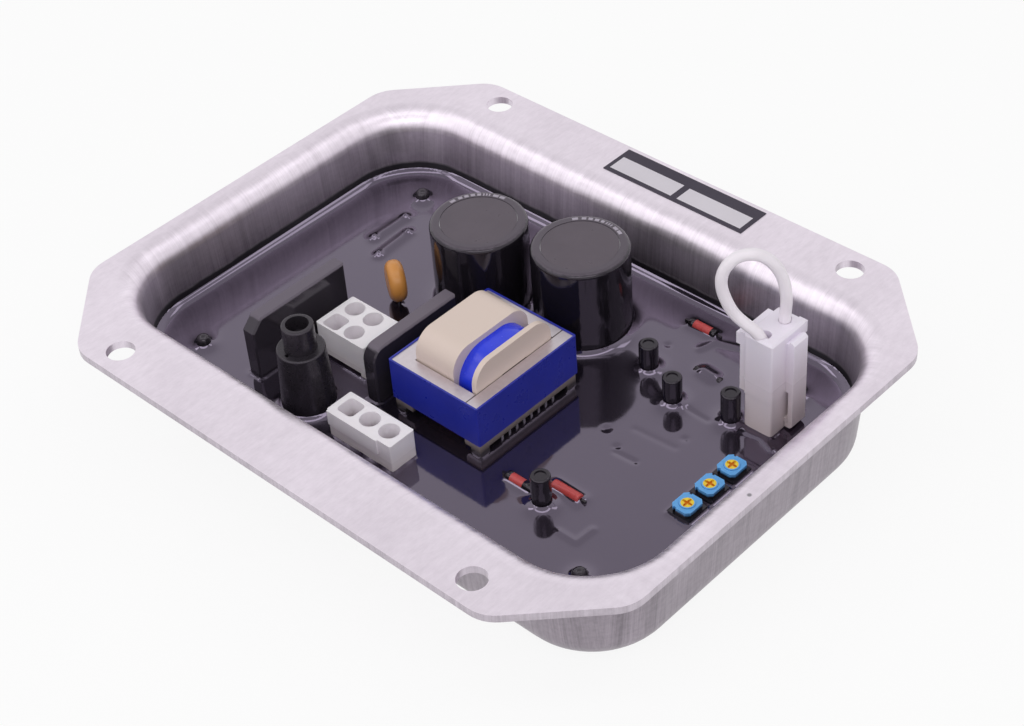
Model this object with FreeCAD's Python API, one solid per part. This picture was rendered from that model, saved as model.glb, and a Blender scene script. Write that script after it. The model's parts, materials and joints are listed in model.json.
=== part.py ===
import FreeCAD, Part
import math
import os

from FreeCAD import Vector

# Automatic voltage regulator: a drawn aluminium tray with two wide mounting flanges,
# a circuit board potted in its floor, and the taller components standing out of the
# potting compound. Millimetres. The origin is the centre of the tray's underside,
# +Z is up out of the tray, X runs along the two wide flanges.

# Circuit board, which sets the size of the tray round it
BOARD_LENGTH = 146.0
BOARD_WIDTH = 92.0
BOARD_THICKNESS = 1.6
BOARD_CORNER_RADIUS = 12.0
BOARD_LIFT = 4.4
POTTING_OVER_BOARD = 4.5
LEAD_STICKOUT = 1.5
RIGHT = BOARD_LENGTH / 2
FAR = BOARD_WIDTH / 2

# Tray, drawn from one sheet: its mouth clears the board, its flanges reach out from the mouth
SHEET = 2.0
TRAY_HEIGHT = 31.0
MOUTH_MARGIN_X = 7.0
MOUTH_MARGIN_Y = 6.0
END_FLANGE_REACH = 7.5
SIDE_FLANGE_REACH = 19.5
FLANGE_CHAMFER = 21.7
FLANGE_CORNER_RADIUS = 9.0
CAVITY_LENGTH = BOARD_LENGTH + 2 * MOUTH_MARGIN_X
CAVITY_WIDTH = BOARD_WIDTH + 2 * MOUTH_MARGIN_Y
FLANGE_LENGTH = CAVITY_LENGTH + 2 * END_FLANGE_REACH
FLANGE_WIDTH = CAVITY_WIDTH + 2 * SIDE_FLANGE_REACH
CAVITY_CORNER_RADIUS = 20.0
WALL_DRAFT_DEG = 5.0
RIM_RADIUS = 6.0
FLOOR_RADIUS = 5.0
HOLE_END_INSET = 30.35
HOLE_EDGE_INSET = 6.5
HOLE_DIAMETER = 7.0
HOLE_SPACING_X = FLANGE_LENGTH - 2 * HOLE_END_INSET
HOLE_SPACING_Y = FLANGE_WIDTH - 2 * HOLE_EDGE_INSET

# Bare label stuck on the far flange
LABEL_LENGTH = 44.4
LABEL_WIDTH = 10.2
LABEL_THICKNESS = 0.15
LABEL_X = 6.0

# Support posts, near the board's corners
POST_INSET_X = 10.8
POST_INSET_Y = 7.4
POST_RADIUS = 2.8
POST_NECK_RADIUS = 1.6
POST_HEAD_RADIUS = 1.9
POST_HEAD_RISE = 3.4

# Clearances
RUNNING_CLEARANCE = 0.05
SLIP_CLEARANCE = 0.1

# Two snap-in electrolytic capacitors
CAPACITOR_PLACES = ((-20.0, 18.4), (6.0, 26.4))
CAPACITOR_RADIUS = 12.2
CAPACITOR_HEIGHT = 29.3
CAPACITOR_SLEEVE = 0.3
CAPACITOR_SLEEVE_LIP = 2.6
CAPACITOR_RIM_ROUND = 1.0
CAPACITOR_SEAL_DEPTH = 3.0
CAPACITOR_DISC_THICKNESS = 0.3
CAPACITOR_TERMINAL_PITCH = 10.0

# Small radial electrolytic capacitors: place and height over the board
SMALL_CAPACITORS = (
    (29.3, 23.6, 12.7),
    (41.3, 17.9, 12.7),
    (RIGHT - 17.0, FAR - 24.8, 13.8),
    (40.5, -26.8, 13.8),
)
SMALL_CAPACITOR_RADIUS = 2.4
SMALL_CAPACITOR_ROUND = 0.5
SMALL_CAPACITOR_RECESS = 0.3
SMALL_CAPACITOR_PITCH = 2.0

# Transformer with a flat EI core and its coil lying along X
CORE_X = 5.9
CORE_Y = -8.35
CORE_LENGTH = 27.5
CORE_WIDTH = 32.9
CORE_STACK = 11.0
CORE_YOKE = 4.5
CORE_I_WIDTH = 3.4
CORE_OUTER_LEG = 3.4
CORE_CENTRE_LEG = 8.0
CORE_LIFT = 9.0
TAPE_THICKNESS = 0.5
TAPE_OVERHANG = 0.2
BOBBIN_WALL = 0.8
BOBBIN_FLANGE = 1.4
COIL_HALF_WIDTH = 12.6
COIL_HALF_HEIGHT = 12.6
COIL_CORNER_RADIUS = 5.5
SHROUD_WALL = 1.0
SHROUD_LENGTH = 12.1
SECONDARY_INSET = 1.5
SECONDARY_CORNER_RADIUS = 8.0
RAIL_THICKNESS = 2.2
RAIL_FOOT = 3.0
PIN_PITCH = 2.5
PINS_PER_RAIL = 8
PIN_SIZE = 0.7

# Upright fuse holder with a quarter-turn cap
FUSE_X = -25.7
FUSE_Y = -FAR + 9.4
FUSE_BODY_HEIGHT = 22.3
FUSE_FOOT_RADIUS = 7.0
FUSE_RIM_RADIUS = 5.9
FUSE_RIM_BAND = 1.6
FUSE_RIM_ROUND = 0.5
FUSE_CAP_RADIUS = 3.9
FUSE_CAP_RISE = 6.9
FUSE_CAP_DEPTH = 6.4
FUSE_CAP_RECESS_RADIUS = 2.8
FUSE_CAP_RECESS_DEPTH = 3.6
FUSE_CAP_SLOT_WIDTH = 1.0
FUSE_CAP_SLOT_DEPTH = 0.9
FUSE_FLOOR = 2.4
FUSE_RADIUS = 2.6
FUSE_LENGTH = 20.0
FUSE_END_LENGTH = 5.2
FUSE_END_WALL = 0.25
FUSE_CONTACT_THICKNESS = 0.5
BAYONET_LUG_REACH = 0.8
BAYONET_LUG_HEIGHT = 1.4
BAYONET_LUG_DROP = 4.8
BAYONET_LUG_DEG = 12.0
BAYONET_TURN_DEG = 90.0
BAYONET_STOP_DEG = 1.0

# Two flat in-line power packages: place of the body's centre, length along Y
RECTIFIER_PLACE = (-43.0, -23.3)
RECTIFIER_LENGTH = 30.4
THYRISTOR_PLACE = (-14.2, -12.5)
THYRISTOR_LENGTH = 28.0
PACKAGE_THICKNESS = 4.0
PACKAGE_BODY_HEIGHT = 18.0
RECTIFIER_LIFT = 4.0
THYRISTOR_LIFT = 2.5
PACKAGE_CHAMFER = 3.2
PACKAGE_ROUND = 3.8
PACKAGE_EDGE = 0.4
PACKAGE_LEADS = 4
PACKAGE_LEAD_WIDTH = 1.2
PACKAGE_LEAD_THICKNESS = 0.7

# White connector housings
SOCKET_PITCH = 6.35
SOCKET_RADIUS = 2.55
SOCKET_SQUARE_ROUND = 1.2
SOCKET_FLOOR = 2.5
SOCKET_PIN_RADIUS = 1.05
SOCKET_PIN_DROP = 3.8
HEADER_EDGE_ROUND = 0.4
SENSING_X = -3.1
SENSING_Y = -FAR + 8.7
SENSING_LENGTH = 21.0
SENSING_WIDTH = 7.8
SENSING_HEIGHT = 12.8
SENSING_STEP = 0.5
SENSING_STEP_HEIGHT = 4.2
POWER_X = -28.75
POWER_Y = -16.25
POWER_LENGTH = 16.5
POWER_WIDTH = 12.5
POWER_BODY_HEIGHT = 8.7
POWER_LIFT = 6.1
POWER_FOOT = 2.0
POWER_SOCKET_OFFSET = -1.1

# Jumper plug latched in its own header
PLUG_X = RIGHT - 10.0
PLUG_Y = FAR - 17.8
PLUG_LENGTH = 8.0
PLUG_WIDTH = 12.6
PLUG_PITCH = 7.4
PLUG_TOP = 32.5
PLUG_NOSE_DEPTH = 10.0
PLUG_HEADER_LENGTH = 7.8
PLUG_HEADER_WIDTH = 12.2
PLUG_HEADER_HEIGHT = 15.0
PLUG_HEADER_WALL = 0.6
PLUG_HEADER_FLOOR = 3.0
PLUG_EDGE_ROUND = 0.6
PLUG_TOP_CHAMFER = 0.5
PLUG_RIB_REACH = 1.5
PLUG_RIB_LENGTH = 10.2
PLUG_TAB_REACH = 1.1
PLUG_TAB_LENGTH = 2.2
PLUG_TAB_HEIGHT = 3.2
PLUG_TAB_DROP = 1.2
LATCH_GAP = 0.9
LATCH_THICKNESS = 1.3
LATCH_WIDTH = 5.0
LATCH_OFFSET_Y = 1.35
LATCH_ROOT_HEIGHT = 15.0
LATCH_TOP_DROP = 1.5
LATCH_TAIL = 9.5
LATCH_HOOK = 1.2
CRIMP_RADIUS = 1.2
PLUG_PIN_RADIUS = 0.75
CRIMP_LENGTH = 16.0

# Jumper wire: a loop whose two ends both enter the plug. The route is measured from the
# middle of the plug's top, and starts and ends at the crimped sockets inside it.
WIRE_DIAMETER = 2.8
WIRE_WAY_DEPTH = 5.5
WIRE_LOOP = (
    (0.3, 2.9, 1.1),
    (1.6, 2.0, 7.5),
    (0.9, 1.2, 14.5),
    (-1.2, -1.15, 20.4),
    (-3.7, -4.0, 23.0),
    (-6.5, -7.2, 22.7),
    (-8.6, -9.6, 19.7),
    (-9.1, -10.2, 14.7),
    (-7.5, -8.7, 8.5),
    (-5.6, -6.9, 4.1),
    (-0.3, -4.6, 0.2),
)
WIRE_BEND_SHARE = 0.48

# Orange disc varistor standing on its leads
DISC_X = -36.5
DISC_Y = 3.9
DISC_RADIUS = 5.4
DISC_THICKNESS = 4.4
DISC_ROUND = 2.0
DISC_LIFT = 5.8
DISC_TURN_DEG = 147.0
DISC_LEAD_PITCH = 5.0
LEAD_SIZE = 0.6

# Axial parts: centre of the body, and whether it lies along X or Y
COATED_RESISTORS = (
    (-RIGHT + 12.9, FAR - 21.9, "Y"),
    (-RIGHT + 18.8, FAR - 26.2, "Y"),
    (41.7, 30.7, "X"),
)
COATED_RESISTOR_RADIUS = 1.7
COATED_RESISTOR_LENGTH = 8.0
COATED_RESISTOR_LIFT = 3.6
RED_RESISTORS = (
    (42.6, -20.7, "X"),
    (32.6, -25.2, "X"),
    (30.5, FAR - 3.2, "X"),
)
RED_RESISTOR_RADIUS = 1.25
RED_RESISTOR_LENGTH = 8.0
RED_RESISTOR_LIFT = 5.3
AXIAL_LEAD_REACH = 1.6
AXIAL_BODY_WAIST = 0.2

# Three single-turn trimmers in a row along Y
TRIMMER_X = RIGHT - 6.0
TRIMMER_Y = -0.1
TRIMMER_PITCH = 7.9
TRIMMER_COUNT = 3
TRIMMER_SIZE_X = 5.3
TRIMMER_SIZE_Y = 5.9
TRIMMER_HEIGHT = 7.3
TRIMMER_BASE_HEIGHT = 5.6
TRIMMER_BASE_MARGIN = 0.35
TRIMMER_CORNER_CUT = 0.9
TRIMMER_NOTCH = 0.7
TRIMMER_NOTCH_OFFSET = -1.3
ROTOR_RADIUS = 1.9
ROTOR_HEIGHT = 1.3
ROTOR_PROUD = 0.15
ROTOR_STUB_RADIUS = 0.8
ROTOR_STUB_LENGTH = 1.5
ROTOR_SLOT_WIDTH = 0.5
ROTOR_SLOT_DEPTH = 0.5
ROTOR_SLOT_LENGTH = 2.8
TRIMMER_LEAD_SPREAD = 2.3

# Levels worked out from the sizes above
FLOOR_TOP = SHEET
BOARD_BOTTOM = FLOOR_TOP + BOARD_LIFT
BOARD_TOP = BOARD_BOTTOM + BOARD_THICKNESS
POTTING_LEVEL = BOARD_TOP + POTTING_OVER_BOARD
LEAD_END = BOARD_BOTTOM - LEAD_STICKOUT
CORE_BOTTOM = BOARD_TOP + CORE_LIFT
CORE_TOP = CORE_BOTTOM + CORE_STACK
CORE_MIDDLE = CORE_BOTTOM + CORE_STACK / 2
FUSE_RIM = BOARD_TOP + FUSE_BODY_HEIGHT
FUSE_BORE_RADIUS = FUSE_CAP_RADIUS + RUNNING_CLEARANCE

UP = Vector(0, 0, 1)


# Plain shapes

def block(x0, x1, y0, y1, z0, z1):
    return Part.makeBox(x1 - x0, y1 - y0, z1 - z0, Vector(x0, y0, z0))


def centred_block(x, y, length, width, z0, z1):
    return block(x - length / 2, x + length / 2, y - width / 2, y + width / 2, z0, z1)


def post(x, y, radius, z0, z1):
    return Part.makeCylinder(radius, z1 - z0, Vector(x, y, z0), UP)


def cone(x, y, radius_low, radius_high, z0, z1):
    return Part.makeCone(radius_low, radius_high, z1 - z0, Vector(x, y, z0), UP)


def sector(x, y, radius, z0, z1, start_deg, span_deg):
    wedge = Part.makeCylinder(radius, z1 - z0, Vector(x, y, z0), UP, span_deg)
    return wedge.rotate(Vector(x, y, 0), UP, start_deg)


def fused(shapes):
    first, rest = shapes[0], shapes[1:]
    return first.fuse(rest).removeSplitter() if rest else first


def rounded_rectangle(half_x, half_y, radius, z):
    """Closed wire, drawn anticlockwise, with an arc at each corner."""
    edges = []
    corners = ((1, 1, 0), (-1, 1, 90), (-1, -1, 180), (1, -1, 270))
    for number, (sign_x, sign_y, start) in enumerate(corners):
        centre = Vector(sign_x * (half_x - radius), sign_y * (half_y - radius), z)
        arc = Part.makeCircle(radius, centre, UP, start, start + 90)
        next_x, next_y, next_start = corners[(number + 1) % len(corners)]
        next_centre = Vector(next_x * (half_x - radius), next_y * (half_y - radius), z)
        turn = math.radians(next_start)
        reach = Vector(math.cos(turn) * radius, math.sin(turn) * radius, 0)
        edges += [arc, Part.makeLine(arc.Vertexes[-1].Point, next_centre + reach)]
    return Part.Wire(edges)


def rounded_plate(x, y, length, width, radius, z0, z1):
    outline = Part.Face(rounded_rectangle(length / 2, width / 2, radius, z0))
    return outline.extrude(Vector(0, 0, z1 - z0)).translate(Vector(x, y, 0))


def edges_at_height(shape, z, reach_x=None, reach_y=None):
    """Edges that lie flat at height z, within a rectangle about the Z axis if one is given."""
    found = []
    for edge in shape.Edges:
        box = edge.BoundBox
        flat = abs(box.ZMin - z) < 1e-4 and abs(box.ZMax - z) < 1e-4
        inside = reach_x is None or (
            max(abs(box.XMin), abs(box.XMax)) < reach_x and max(abs(box.YMin), abs(box.YMax)) < reach_y
        )
        if flat and inside:
            found.append(edge)
    return found


def vertical_edges(shape):
    return [e for e in shape.Edges if e.BoundBox.XLength < 1e-4 and e.BoundBox.YLength < 1e-4]


# Tray

def cup(inset, z_floor, floor_radius):
    """The tapered rounded box between the flange plane and z_floor; inset > 0 makes it larger."""
    half_x = CAVITY_LENGTH / 2 + inset
    half_y = CAVITY_WIDTH / 2 + inset
    corner = CAVITY_CORNER_RADIUS + inset
    taper = (TRAY_HEIGHT - z_floor) * math.tan(math.radians(WALL_DRAFT_DEG))
    mouth = rounded_rectangle(half_x, half_y, corner, TRAY_HEIGHT)
    floor = rounded_rectangle(half_x - taper, half_y - taper, corner - taper, z_floor)
    solid = Part.makeLoft([mouth, floor], True, True)
    return solid.makeFillet(floor_radius, edges_at_height(solid, z_floor))


def cavity():
    return cup(0.0, FLOOR_TOP, FLOOR_RADIUS)


def flange_plate():
    half_x, half_y = FLANGE_LENGTH / 2, FLANGE_WIDTH / 2
    cut_x, cut_y = half_x - FLANGE_CHAMFER, half_y - FLANGE_CHAMFER
    z = TRAY_HEIGHT - SHEET
    outline = [
        (cut_x, half_y), (-cut_x, half_y), (-half_x, cut_y), (-half_x, -cut_y),
        (-cut_x, -half_y), (cut_x, -half_y), (half_x, -cut_y), (half_x, cut_y),
    ]
    corners = [Vector(x, y, z) for x, y in outline]
    plate = Part.Face(Part.makePolygon(corners + corners[:1])).extrude(Vector(0, 0, SHEET))
    return plate.makeFillet(FLANGE_CORNER_RADIUS, vertical_edges(plate))


def mounting_holes():
    return [
        post(sx * HOLE_SPACING_X / 2, sy * HOLE_SPACING_Y / 2, HOLE_DIAMETER / 2, 0, TRAY_HEIGHT + SHEET)
        for sx in (-1, 1)
        for sy in (-1, 1)
    ]


def tray():
    wall = SHEET / math.cos(math.radians(WALL_DRAFT_DEG))
    shell = flange_plate().fuse(cup(wall, 0.0, FLOOR_RADIUS + SHEET))
    shell = shell.removeSplitter()
    near_x = CAVITY_LENGTH / 2 + wall + 0.5
    near_y = CAVITY_WIDTH / 2 + wall + 0.5
    under_rim = edges_at_height(shell, TRAY_HEIGHT - SHEET, near_x, near_y)
    shell = shell.makeFillet(RIM_RADIUS - SHEET, under_rim)
    shell = shell.cut(cavity())
    mouth = edges_at_height(shell, TRAY_HEIGHT, near_x, near_y)
    shell = shell.makeFillet(RIM_RADIUS, mouth)
    return shell.cut(mounting_holes())


def label():
    flat_start = CAVITY_WIDTH / 2 + RIM_RADIUS
    y = (flat_start + FLANGE_WIDTH / 2) / 2 + 0.4
    return centred_block(LABEL_X, y, LABEL_LENGTH, LABEL_WIDTH, TRAY_HEIGHT, TRAY_HEIGHT + LABEL_THICKNESS)


# Leads and pins

def square_lead(x, y, z_top, size=LEAD_SIZE):
    return centred_block(x, y, size, size, LEAD_END, z_top)


def flat_lead(x, y, z_top):
    return centred_block(x, y, PACKAGE_LEAD_THICKNESS, PACKAGE_LEAD_WIDTH, LEAD_END, z_top)


# Support posts

def post_places():
    return [(sx * (RIGHT - POST_INSET_X), sy * (FAR - POST_INSET_Y)) for sx in (-1, 1) for sy in (-1, 1)]


def support_post(x, y):
    head_base = POTTING_LEVEL + POST_HEAD_RISE - POST_HEAD_RADIUS
    foot = post(x, y, POST_RADIUS, FLOOR_TOP, BOARD_BOTTOM)
    neck = post(x, y, POST_NECK_RADIUS, BOARD_BOTTOM, head_base)
    head = Part.makeSphere(POST_HEAD_RADIUS, Vector(x, y, head_base))
    return fused([foot, neck, head])


def support_posts():
    return [support_post(x, y) for x, y in post_places()]


# Large capacitors

def capacitor_can(x, y):
    """Drawn can with a rounded shoulder, closed at the top and open below for its seal."""
    radius = CAPACITOR_RADIUS - CAPACITOR_SLEEVE
    top = BOARD_TOP + CAPACITOR_HEIGHT - CAPACITOR_SLEEVE
    body = post(x, y, radius, BOARD_TOP + CAPACITOR_SLEEVE, top)
    body = body.makeFillet(CAPACITOR_RIM_ROUND, edges_at_height(body, top))
    return body.cut(capacitor_seal(x, y))


def capacitor_seal(x, y):
    radius = CAPACITOR_RADIUS - 3 * CAPACITOR_SLEEVE
    low = BOARD_TOP + CAPACITOR_SLEEVE
    return post(x, y, radius, low, low + CAPACITOR_SEAL_DEPTH)


def capacitor_outline(x, y):
    top = BOARD_TOP + CAPACITOR_HEIGHT
    body = post(x, y, CAPACITOR_RADIUS, BOARD_TOP, top)
    return body.makeFillet(CAPACITOR_RIM_ROUND + CAPACITOR_SLEEVE, edges_at_height(body, top))


def capacitor_sleeve(x, y):
    """Shrink sleeve: a thin skin rolled over the shoulder, open in the middle of both ends."""
    top = BOARD_TOP + CAPACITOR_HEIGHT
    opening = CAPACITOR_RADIUS - CAPACITOR_SLEEVE_LIP
    radius = CAPACITOR_RADIUS - CAPACITOR_SLEEVE
    inner = post(x, y, radius, BOARD_TOP + CAPACITOR_SLEEVE, top - CAPACITOR_SLEEVE)
    inner = inner.makeFillet(CAPACITOR_RIM_ROUND, edges_at_height(inner, top - CAPACITOR_SLEEVE))
    return capacitor_outline(x, y).cut([inner, post(x, y, opening, BOARD_TOP, top)])


def capacitor_disc(x, y):
    """Thin insulating disc on the can's end, inside the sleeve's rolled lip."""
    low = BOARD_TOP + CAPACITOR_HEIGHT - CAPACITOR_SLEEVE
    radius = CAPACITOR_RADIUS - CAPACITOR_SLEEVE_LIP - SLIP_CLEARANCE
    return post(x, y, radius, low, low + CAPACITOR_DISC_THICKNESS - SLIP_CLEARANCE)


def capacitor_terminals(x, y):
    seal_low = BOARD_TOP + CAPACITOR_SLEEVE
    pitch = CAPACITOR_TERMINAL_PITCH / 2
    return [square_lead(x + side * pitch, y, seal_low, 2 * LEAD_SIZE) for side in (-1, 1)]


# Small capacitors

def small_capacitor(x, y, height):
    """Sleeved can with a rounded shoulder and a shallow recess in its end."""
    top = BOARD_TOP + height
    body = post(x, y, SMALL_CAPACITOR_RADIUS, BOARD_TOP, top)
    body = body.makeFillet(SMALL_CAPACITOR_ROUND, edges_at_height(body, top))
    recess = SMALL_CAPACITOR_RADIUS - 2 * SMALL_CAPACITOR_ROUND
    return body.cut(post(x, y, recess, top - SMALL_CAPACITOR_RECESS, top))


def small_capacitor_leads():
    half = SMALL_CAPACITOR_PITCH / 2
    return [square_lead(x + side * half, y, BOARD_TOP) for x, y, _ in SMALL_CAPACITORS for side in (-1, 1)]


# Transformer

CORE_X0 = CORE_X - CORE_LENGTH / 2
CORE_X1 = CORE_X + CORE_LENGTH / 2
CORE_JOINT = CORE_X1 - CORE_I_WIDTH
WINDOW_X0 = CORE_X0 + CORE_YOKE
TUBE_HALF_WIDTH = CORE_CENTRE_LEG / 2 + SLIP_CLEARANCE + BOBBIN_WALL
TUBE_HALF_HEIGHT = CORE_STACK / 2 + SLIP_CLEARANCE + BOBBIN_WALL
FLANGE_X0 = CORE_JOINT - SLIP_CLEARANCE - BOBBIN_FLANGE
SHROUD_X0 = WINDOW_X0 + SLIP_CLEARANCE
SHROUD_X1 = SHROUD_X0 + SHROUD_LENGTH
RAIL_TOP = CORE_BOTTOM - TAPE_OVERHANG
RAIL_BOTTOM = RAIL_TOP - RAIL_THICKNESS


def coil_outline(inset, radius, x0, x1):
    """Rounded block about the centre leg, seen along the leg."""
    half_y = COIL_HALF_WIDTH - inset
    half_z = COIL_HALF_HEIGHT - inset
    face = Part.Face(rounded_rectangle(half_z, half_y, radius, 0))
    solid = face.extrude(Vector(0, 0, x1 - x0))
    solid = solid.rotate(Vector(0, 0, 0), Vector(0, 1, 0), 90)
    return solid.translate(Vector(x0, CORE_Y, CORE_MIDDLE))


def tube_space(x0, x1, grow=0.0):
    half_y, half_z = TUBE_HALF_WIDTH + grow, TUBE_HALF_HEIGHT + grow
    return block(x0, x1, CORE_Y - half_y, CORE_Y + half_y, CORE_MIDDLE - half_z, CORE_MIDDLE + half_z)


def transformer_e_core():
    half = CORE_WIDTH / 2
    plate = block(CORE_X0, CORE_JOINT, CORE_Y - half, CORE_Y + half, CORE_BOTTOM, CORE_TOP)
    inner, outer = CORE_CENTRE_LEG / 2, half - CORE_OUTER_LEG
    windows = [
        block(WINDOW_X0, CORE_JOINT, CORE_Y - outer, CORE_Y - inner, CORE_BOTTOM, CORE_TOP),
        block(WINDOW_X0, CORE_JOINT, CORE_Y + inner, CORE_Y + outer, CORE_BOTTOM, CORE_TOP),
    ]
    return plate.cut(windows)


def transformer_i_core():
    half = CORE_WIDTH / 2
    return block(CORE_JOINT, CORE_X1, CORE_Y - half, CORE_Y + half, CORE_BOTTOM, CORE_TOP)


def transformer_tape():
    low, high = CORE_BOTTOM - TAPE_OVERHANG, CORE_TOP + TAPE_OVERHANG
    length, width = CORE_LENGTH + 2 * TAPE_THICKNESS, CORE_WIDTH + 2 * TAPE_THICKNESS
    band = rounded_plate(CORE_X, CORE_Y, length, width, TAPE_THICKNESS, low, high)
    return band.cut(centred_block(CORE_X, CORE_Y, CORE_LENGTH, CORE_WIDTH, low, high))


def bobbin_flange(x0, x1):
    return coil_outline(0.0, COIL_CORNER_RADIUS, x0, x1)


def bobbin_rails():
    """A pin rail under each end of the core, with a foot at each corner that stands on the board."""
    half = CORE_WIDTH / 2
    rails = []
    for x0, x1 in ((CORE_X0, WINDOW_X0 + SLIP_CLEARANCE + SHROUD_WALL), (FLANGE_X0, CORE_X1)):
        rails.append(block(x0, x1, CORE_Y - half, CORE_Y + half, RAIL_BOTTOM, RAIL_TOP))
        outer = x0 if x0 == CORE_X0 else x1 - RAIL_FOOT
        for y in (CORE_Y - half, CORE_Y + half - RAIL_FOOT):
            rails.append(block(outer, outer + RAIL_FOOT, y, y + RAIL_FOOT, BOARD_TOP, RAIL_BOTTOM))
    return rails


def transformer_bobbin():
    leg = tube_space(SHROUD_X0, CORE_JOINT, -BOBBIN_WALL)
    tube = tube_space(SHROUD_X0 + SHROUD_WALL, FLANGE_X0 + BOBBIN_FLANGE)
    near = bobbin_flange(SHROUD_X0 + SHROUD_WALL, SHROUD_X0 + 2 * SHROUD_WALL)
    inner_flange = near.common(coil_outline(SHROUD_WALL, COIL_CORNER_RADIUS - SHROUD_WALL, SHROUD_X0, SHROUD_X1))
    far_flange = bobbin_flange(FLANGE_X0, FLANGE_X0 + BOBBIN_FLANGE)
    rail_link = block(
        SHROUD_X0 + SHROUD_WALL, SHROUD_X0 + 2 * SHROUD_WALL,
        CORE_Y - TUBE_HALF_WIDTH, CORE_Y + TUBE_HALF_WIDTH, RAIL_BOTTOM, CORE_BOTTOM,
    )
    solid = fused([tube, inner_flange, far_flange, rail_link] + bobbin_rails())
    return solid.cut([leg] + transformer_pins())


def shroud_slot():
    """Open stretch below the leg, so the shroud drops over the wound tube from above."""
    low = CORE_MIDDLE - COIL_HALF_HEIGHT
    y0, y1 = CORE_Y - COIL_HALF_WIDTH, CORE_Y + COIL_HALF_WIDTH
    return block(SHROUD_X0, SHROUD_X1, y0, y1, low - 1, CORE_BOTTOM - TAPE_OVERHANG)


def transformer_shroud():
    outer = coil_outline(0.0, COIL_CORNER_RADIUS, SHROUD_X0, SHROUD_X1)
    hollow = coil_outline(
        SHROUD_WALL, COIL_CORNER_RADIUS - SHROUD_WALL, SHROUD_X0 + SHROUD_WALL, SHROUD_X1 - SHROUD_WALL
    )
    half_y = TUBE_HALF_WIDTH
    saddle = block(
        SHROUD_X0, SHROUD_X1, CORE_Y - half_y, CORE_Y + half_y,
        CORE_MIDDLE - COIL_HALF_HEIGHT, CORE_MIDDLE + TUBE_HALF_HEIGHT,
    )
    return outer.cut([hollow, saddle, shroud_slot()])


def primary_winding():
    x0 = SHROUD_X0 + 2 * SHROUD_WALL
    x1 = SHROUD_X1 - SHROUD_WALL
    inset = SHROUD_WALL + SLIP_CLEARANCE
    wound = coil_outline(inset, COIL_CORNER_RADIUS - inset, x0, x1)
    return wound.cut(tube_space(x0, x1))


def secondary_winding():
    wound = coil_outline(SECONDARY_INSET, SECONDARY_CORNER_RADIUS, SHROUD_X1, FLANGE_X0)
    return wound.cut(tube_space(SHROUD_X1, FLANGE_X0))


def transformer_pins():
    pins = []
    first = CORE_Y - PIN_PITCH * (PINS_PER_RAIL - 1) / 2
    for x in (CORE_X0 + PIN_SIZE, CORE_X1 - PIN_SIZE):
        for number in range(PINS_PER_RAIL):
            pins.append(square_lead(x, first + number * PIN_PITCH, RAIL_BOTTOM + RAIL_THICKNESS / 2, PIN_SIZE))
    return pins


# Fuse holder

def bayonet_cut(side_deg, lug_low, reach):
    """One groove for a lug, with its entry slot up to the rim at the far end of the turn."""
    half = BAYONET_LUG_DEG / 2 + BAYONET_STOP_DEG / 2
    top = lug_low + BAYONET_LUG_HEIGHT + 2 * SLIP_CLEARANCE
    groove = sector(FUSE_X, FUSE_Y, reach, lug_low, top, side_deg - half, BAYONET_TURN_DEG + 2 * half)
    entry = sector(FUSE_X, FUSE_Y, reach, lug_low, FUSE_RIM, side_deg + BAYONET_TURN_DEG - half, 2 * half)
    return [groove, entry]


def fuse_holder_outline():
    shoulder = FUSE_RIM - FUSE_RIM_BAND
    outline = fused([
        cone(FUSE_X, FUSE_Y, FUSE_FOOT_RADIUS, FUSE_RIM_RADIUS, BOARD_TOP, shoulder),
        post(FUSE_X, FUSE_Y, FUSE_RIM_RADIUS, shoulder, FUSE_RIM),
    ])
    return outline.makeFillet(FUSE_RIM_ROUND, edges_at_height(outline, FUSE_RIM))


def fuse_holder_body():
    cap_space = post(FUSE_X, FUSE_Y, FUSE_BORE_RADIUS, FUSE_RIM - FUSE_CAP_DEPTH - SLIP_CLEARANCE, FUSE_RIM)
    fuse_space = post(FUSE_X, FUSE_Y, FUSE_RADIUS + 4 * SLIP_CLEARANCE, BOARD_TOP + FUSE_FLOOR, FUSE_RIM)
    cuts = [cap_space, fuse_space] + fuse_contacts()
    lug_low = FUSE_RIM - BAYONET_LUG_DROP - SLIP_CLEARANCE
    reach = FUSE_CAP_RADIUS + BAYONET_LUG_REACH + SLIP_CLEARANCE
    for side in (0, 180):
        cuts += bayonet_cut(side, lug_low, reach)
    return fuse_holder_outline().cut(cuts)


def fuse_low():
    return BOARD_TOP + FUSE_FLOOR + FUSE_CONTACT_THICKNESS + SLIP_CLEARANCE


def fuse_contacts():
    """Bottom disc with its tail, and a strip beside the cap with its own tail."""
    low = BOARD_TOP + FUSE_FLOOR
    disc = post(FUSE_X, FUSE_Y, FUSE_RADIUS, low, low + FUSE_CONTACT_THICKNESS)
    tail = square_lead(FUSE_X, FUSE_Y, low, 2 * LEAD_SIZE)
    strip_x = FUSE_X + FUSE_RIM_RADIUS - 3 * FUSE_CONTACT_THICKNESS
    strip_top = FUSE_RIM - FUSE_CAP_DEPTH
    strip = centred_block(strip_x, FUSE_Y, FUSE_CONTACT_THICKNESS, 3 * LEAD_SIZE, LEAD_END, strip_top)
    return [fused([disc, tail]), strip]


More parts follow.
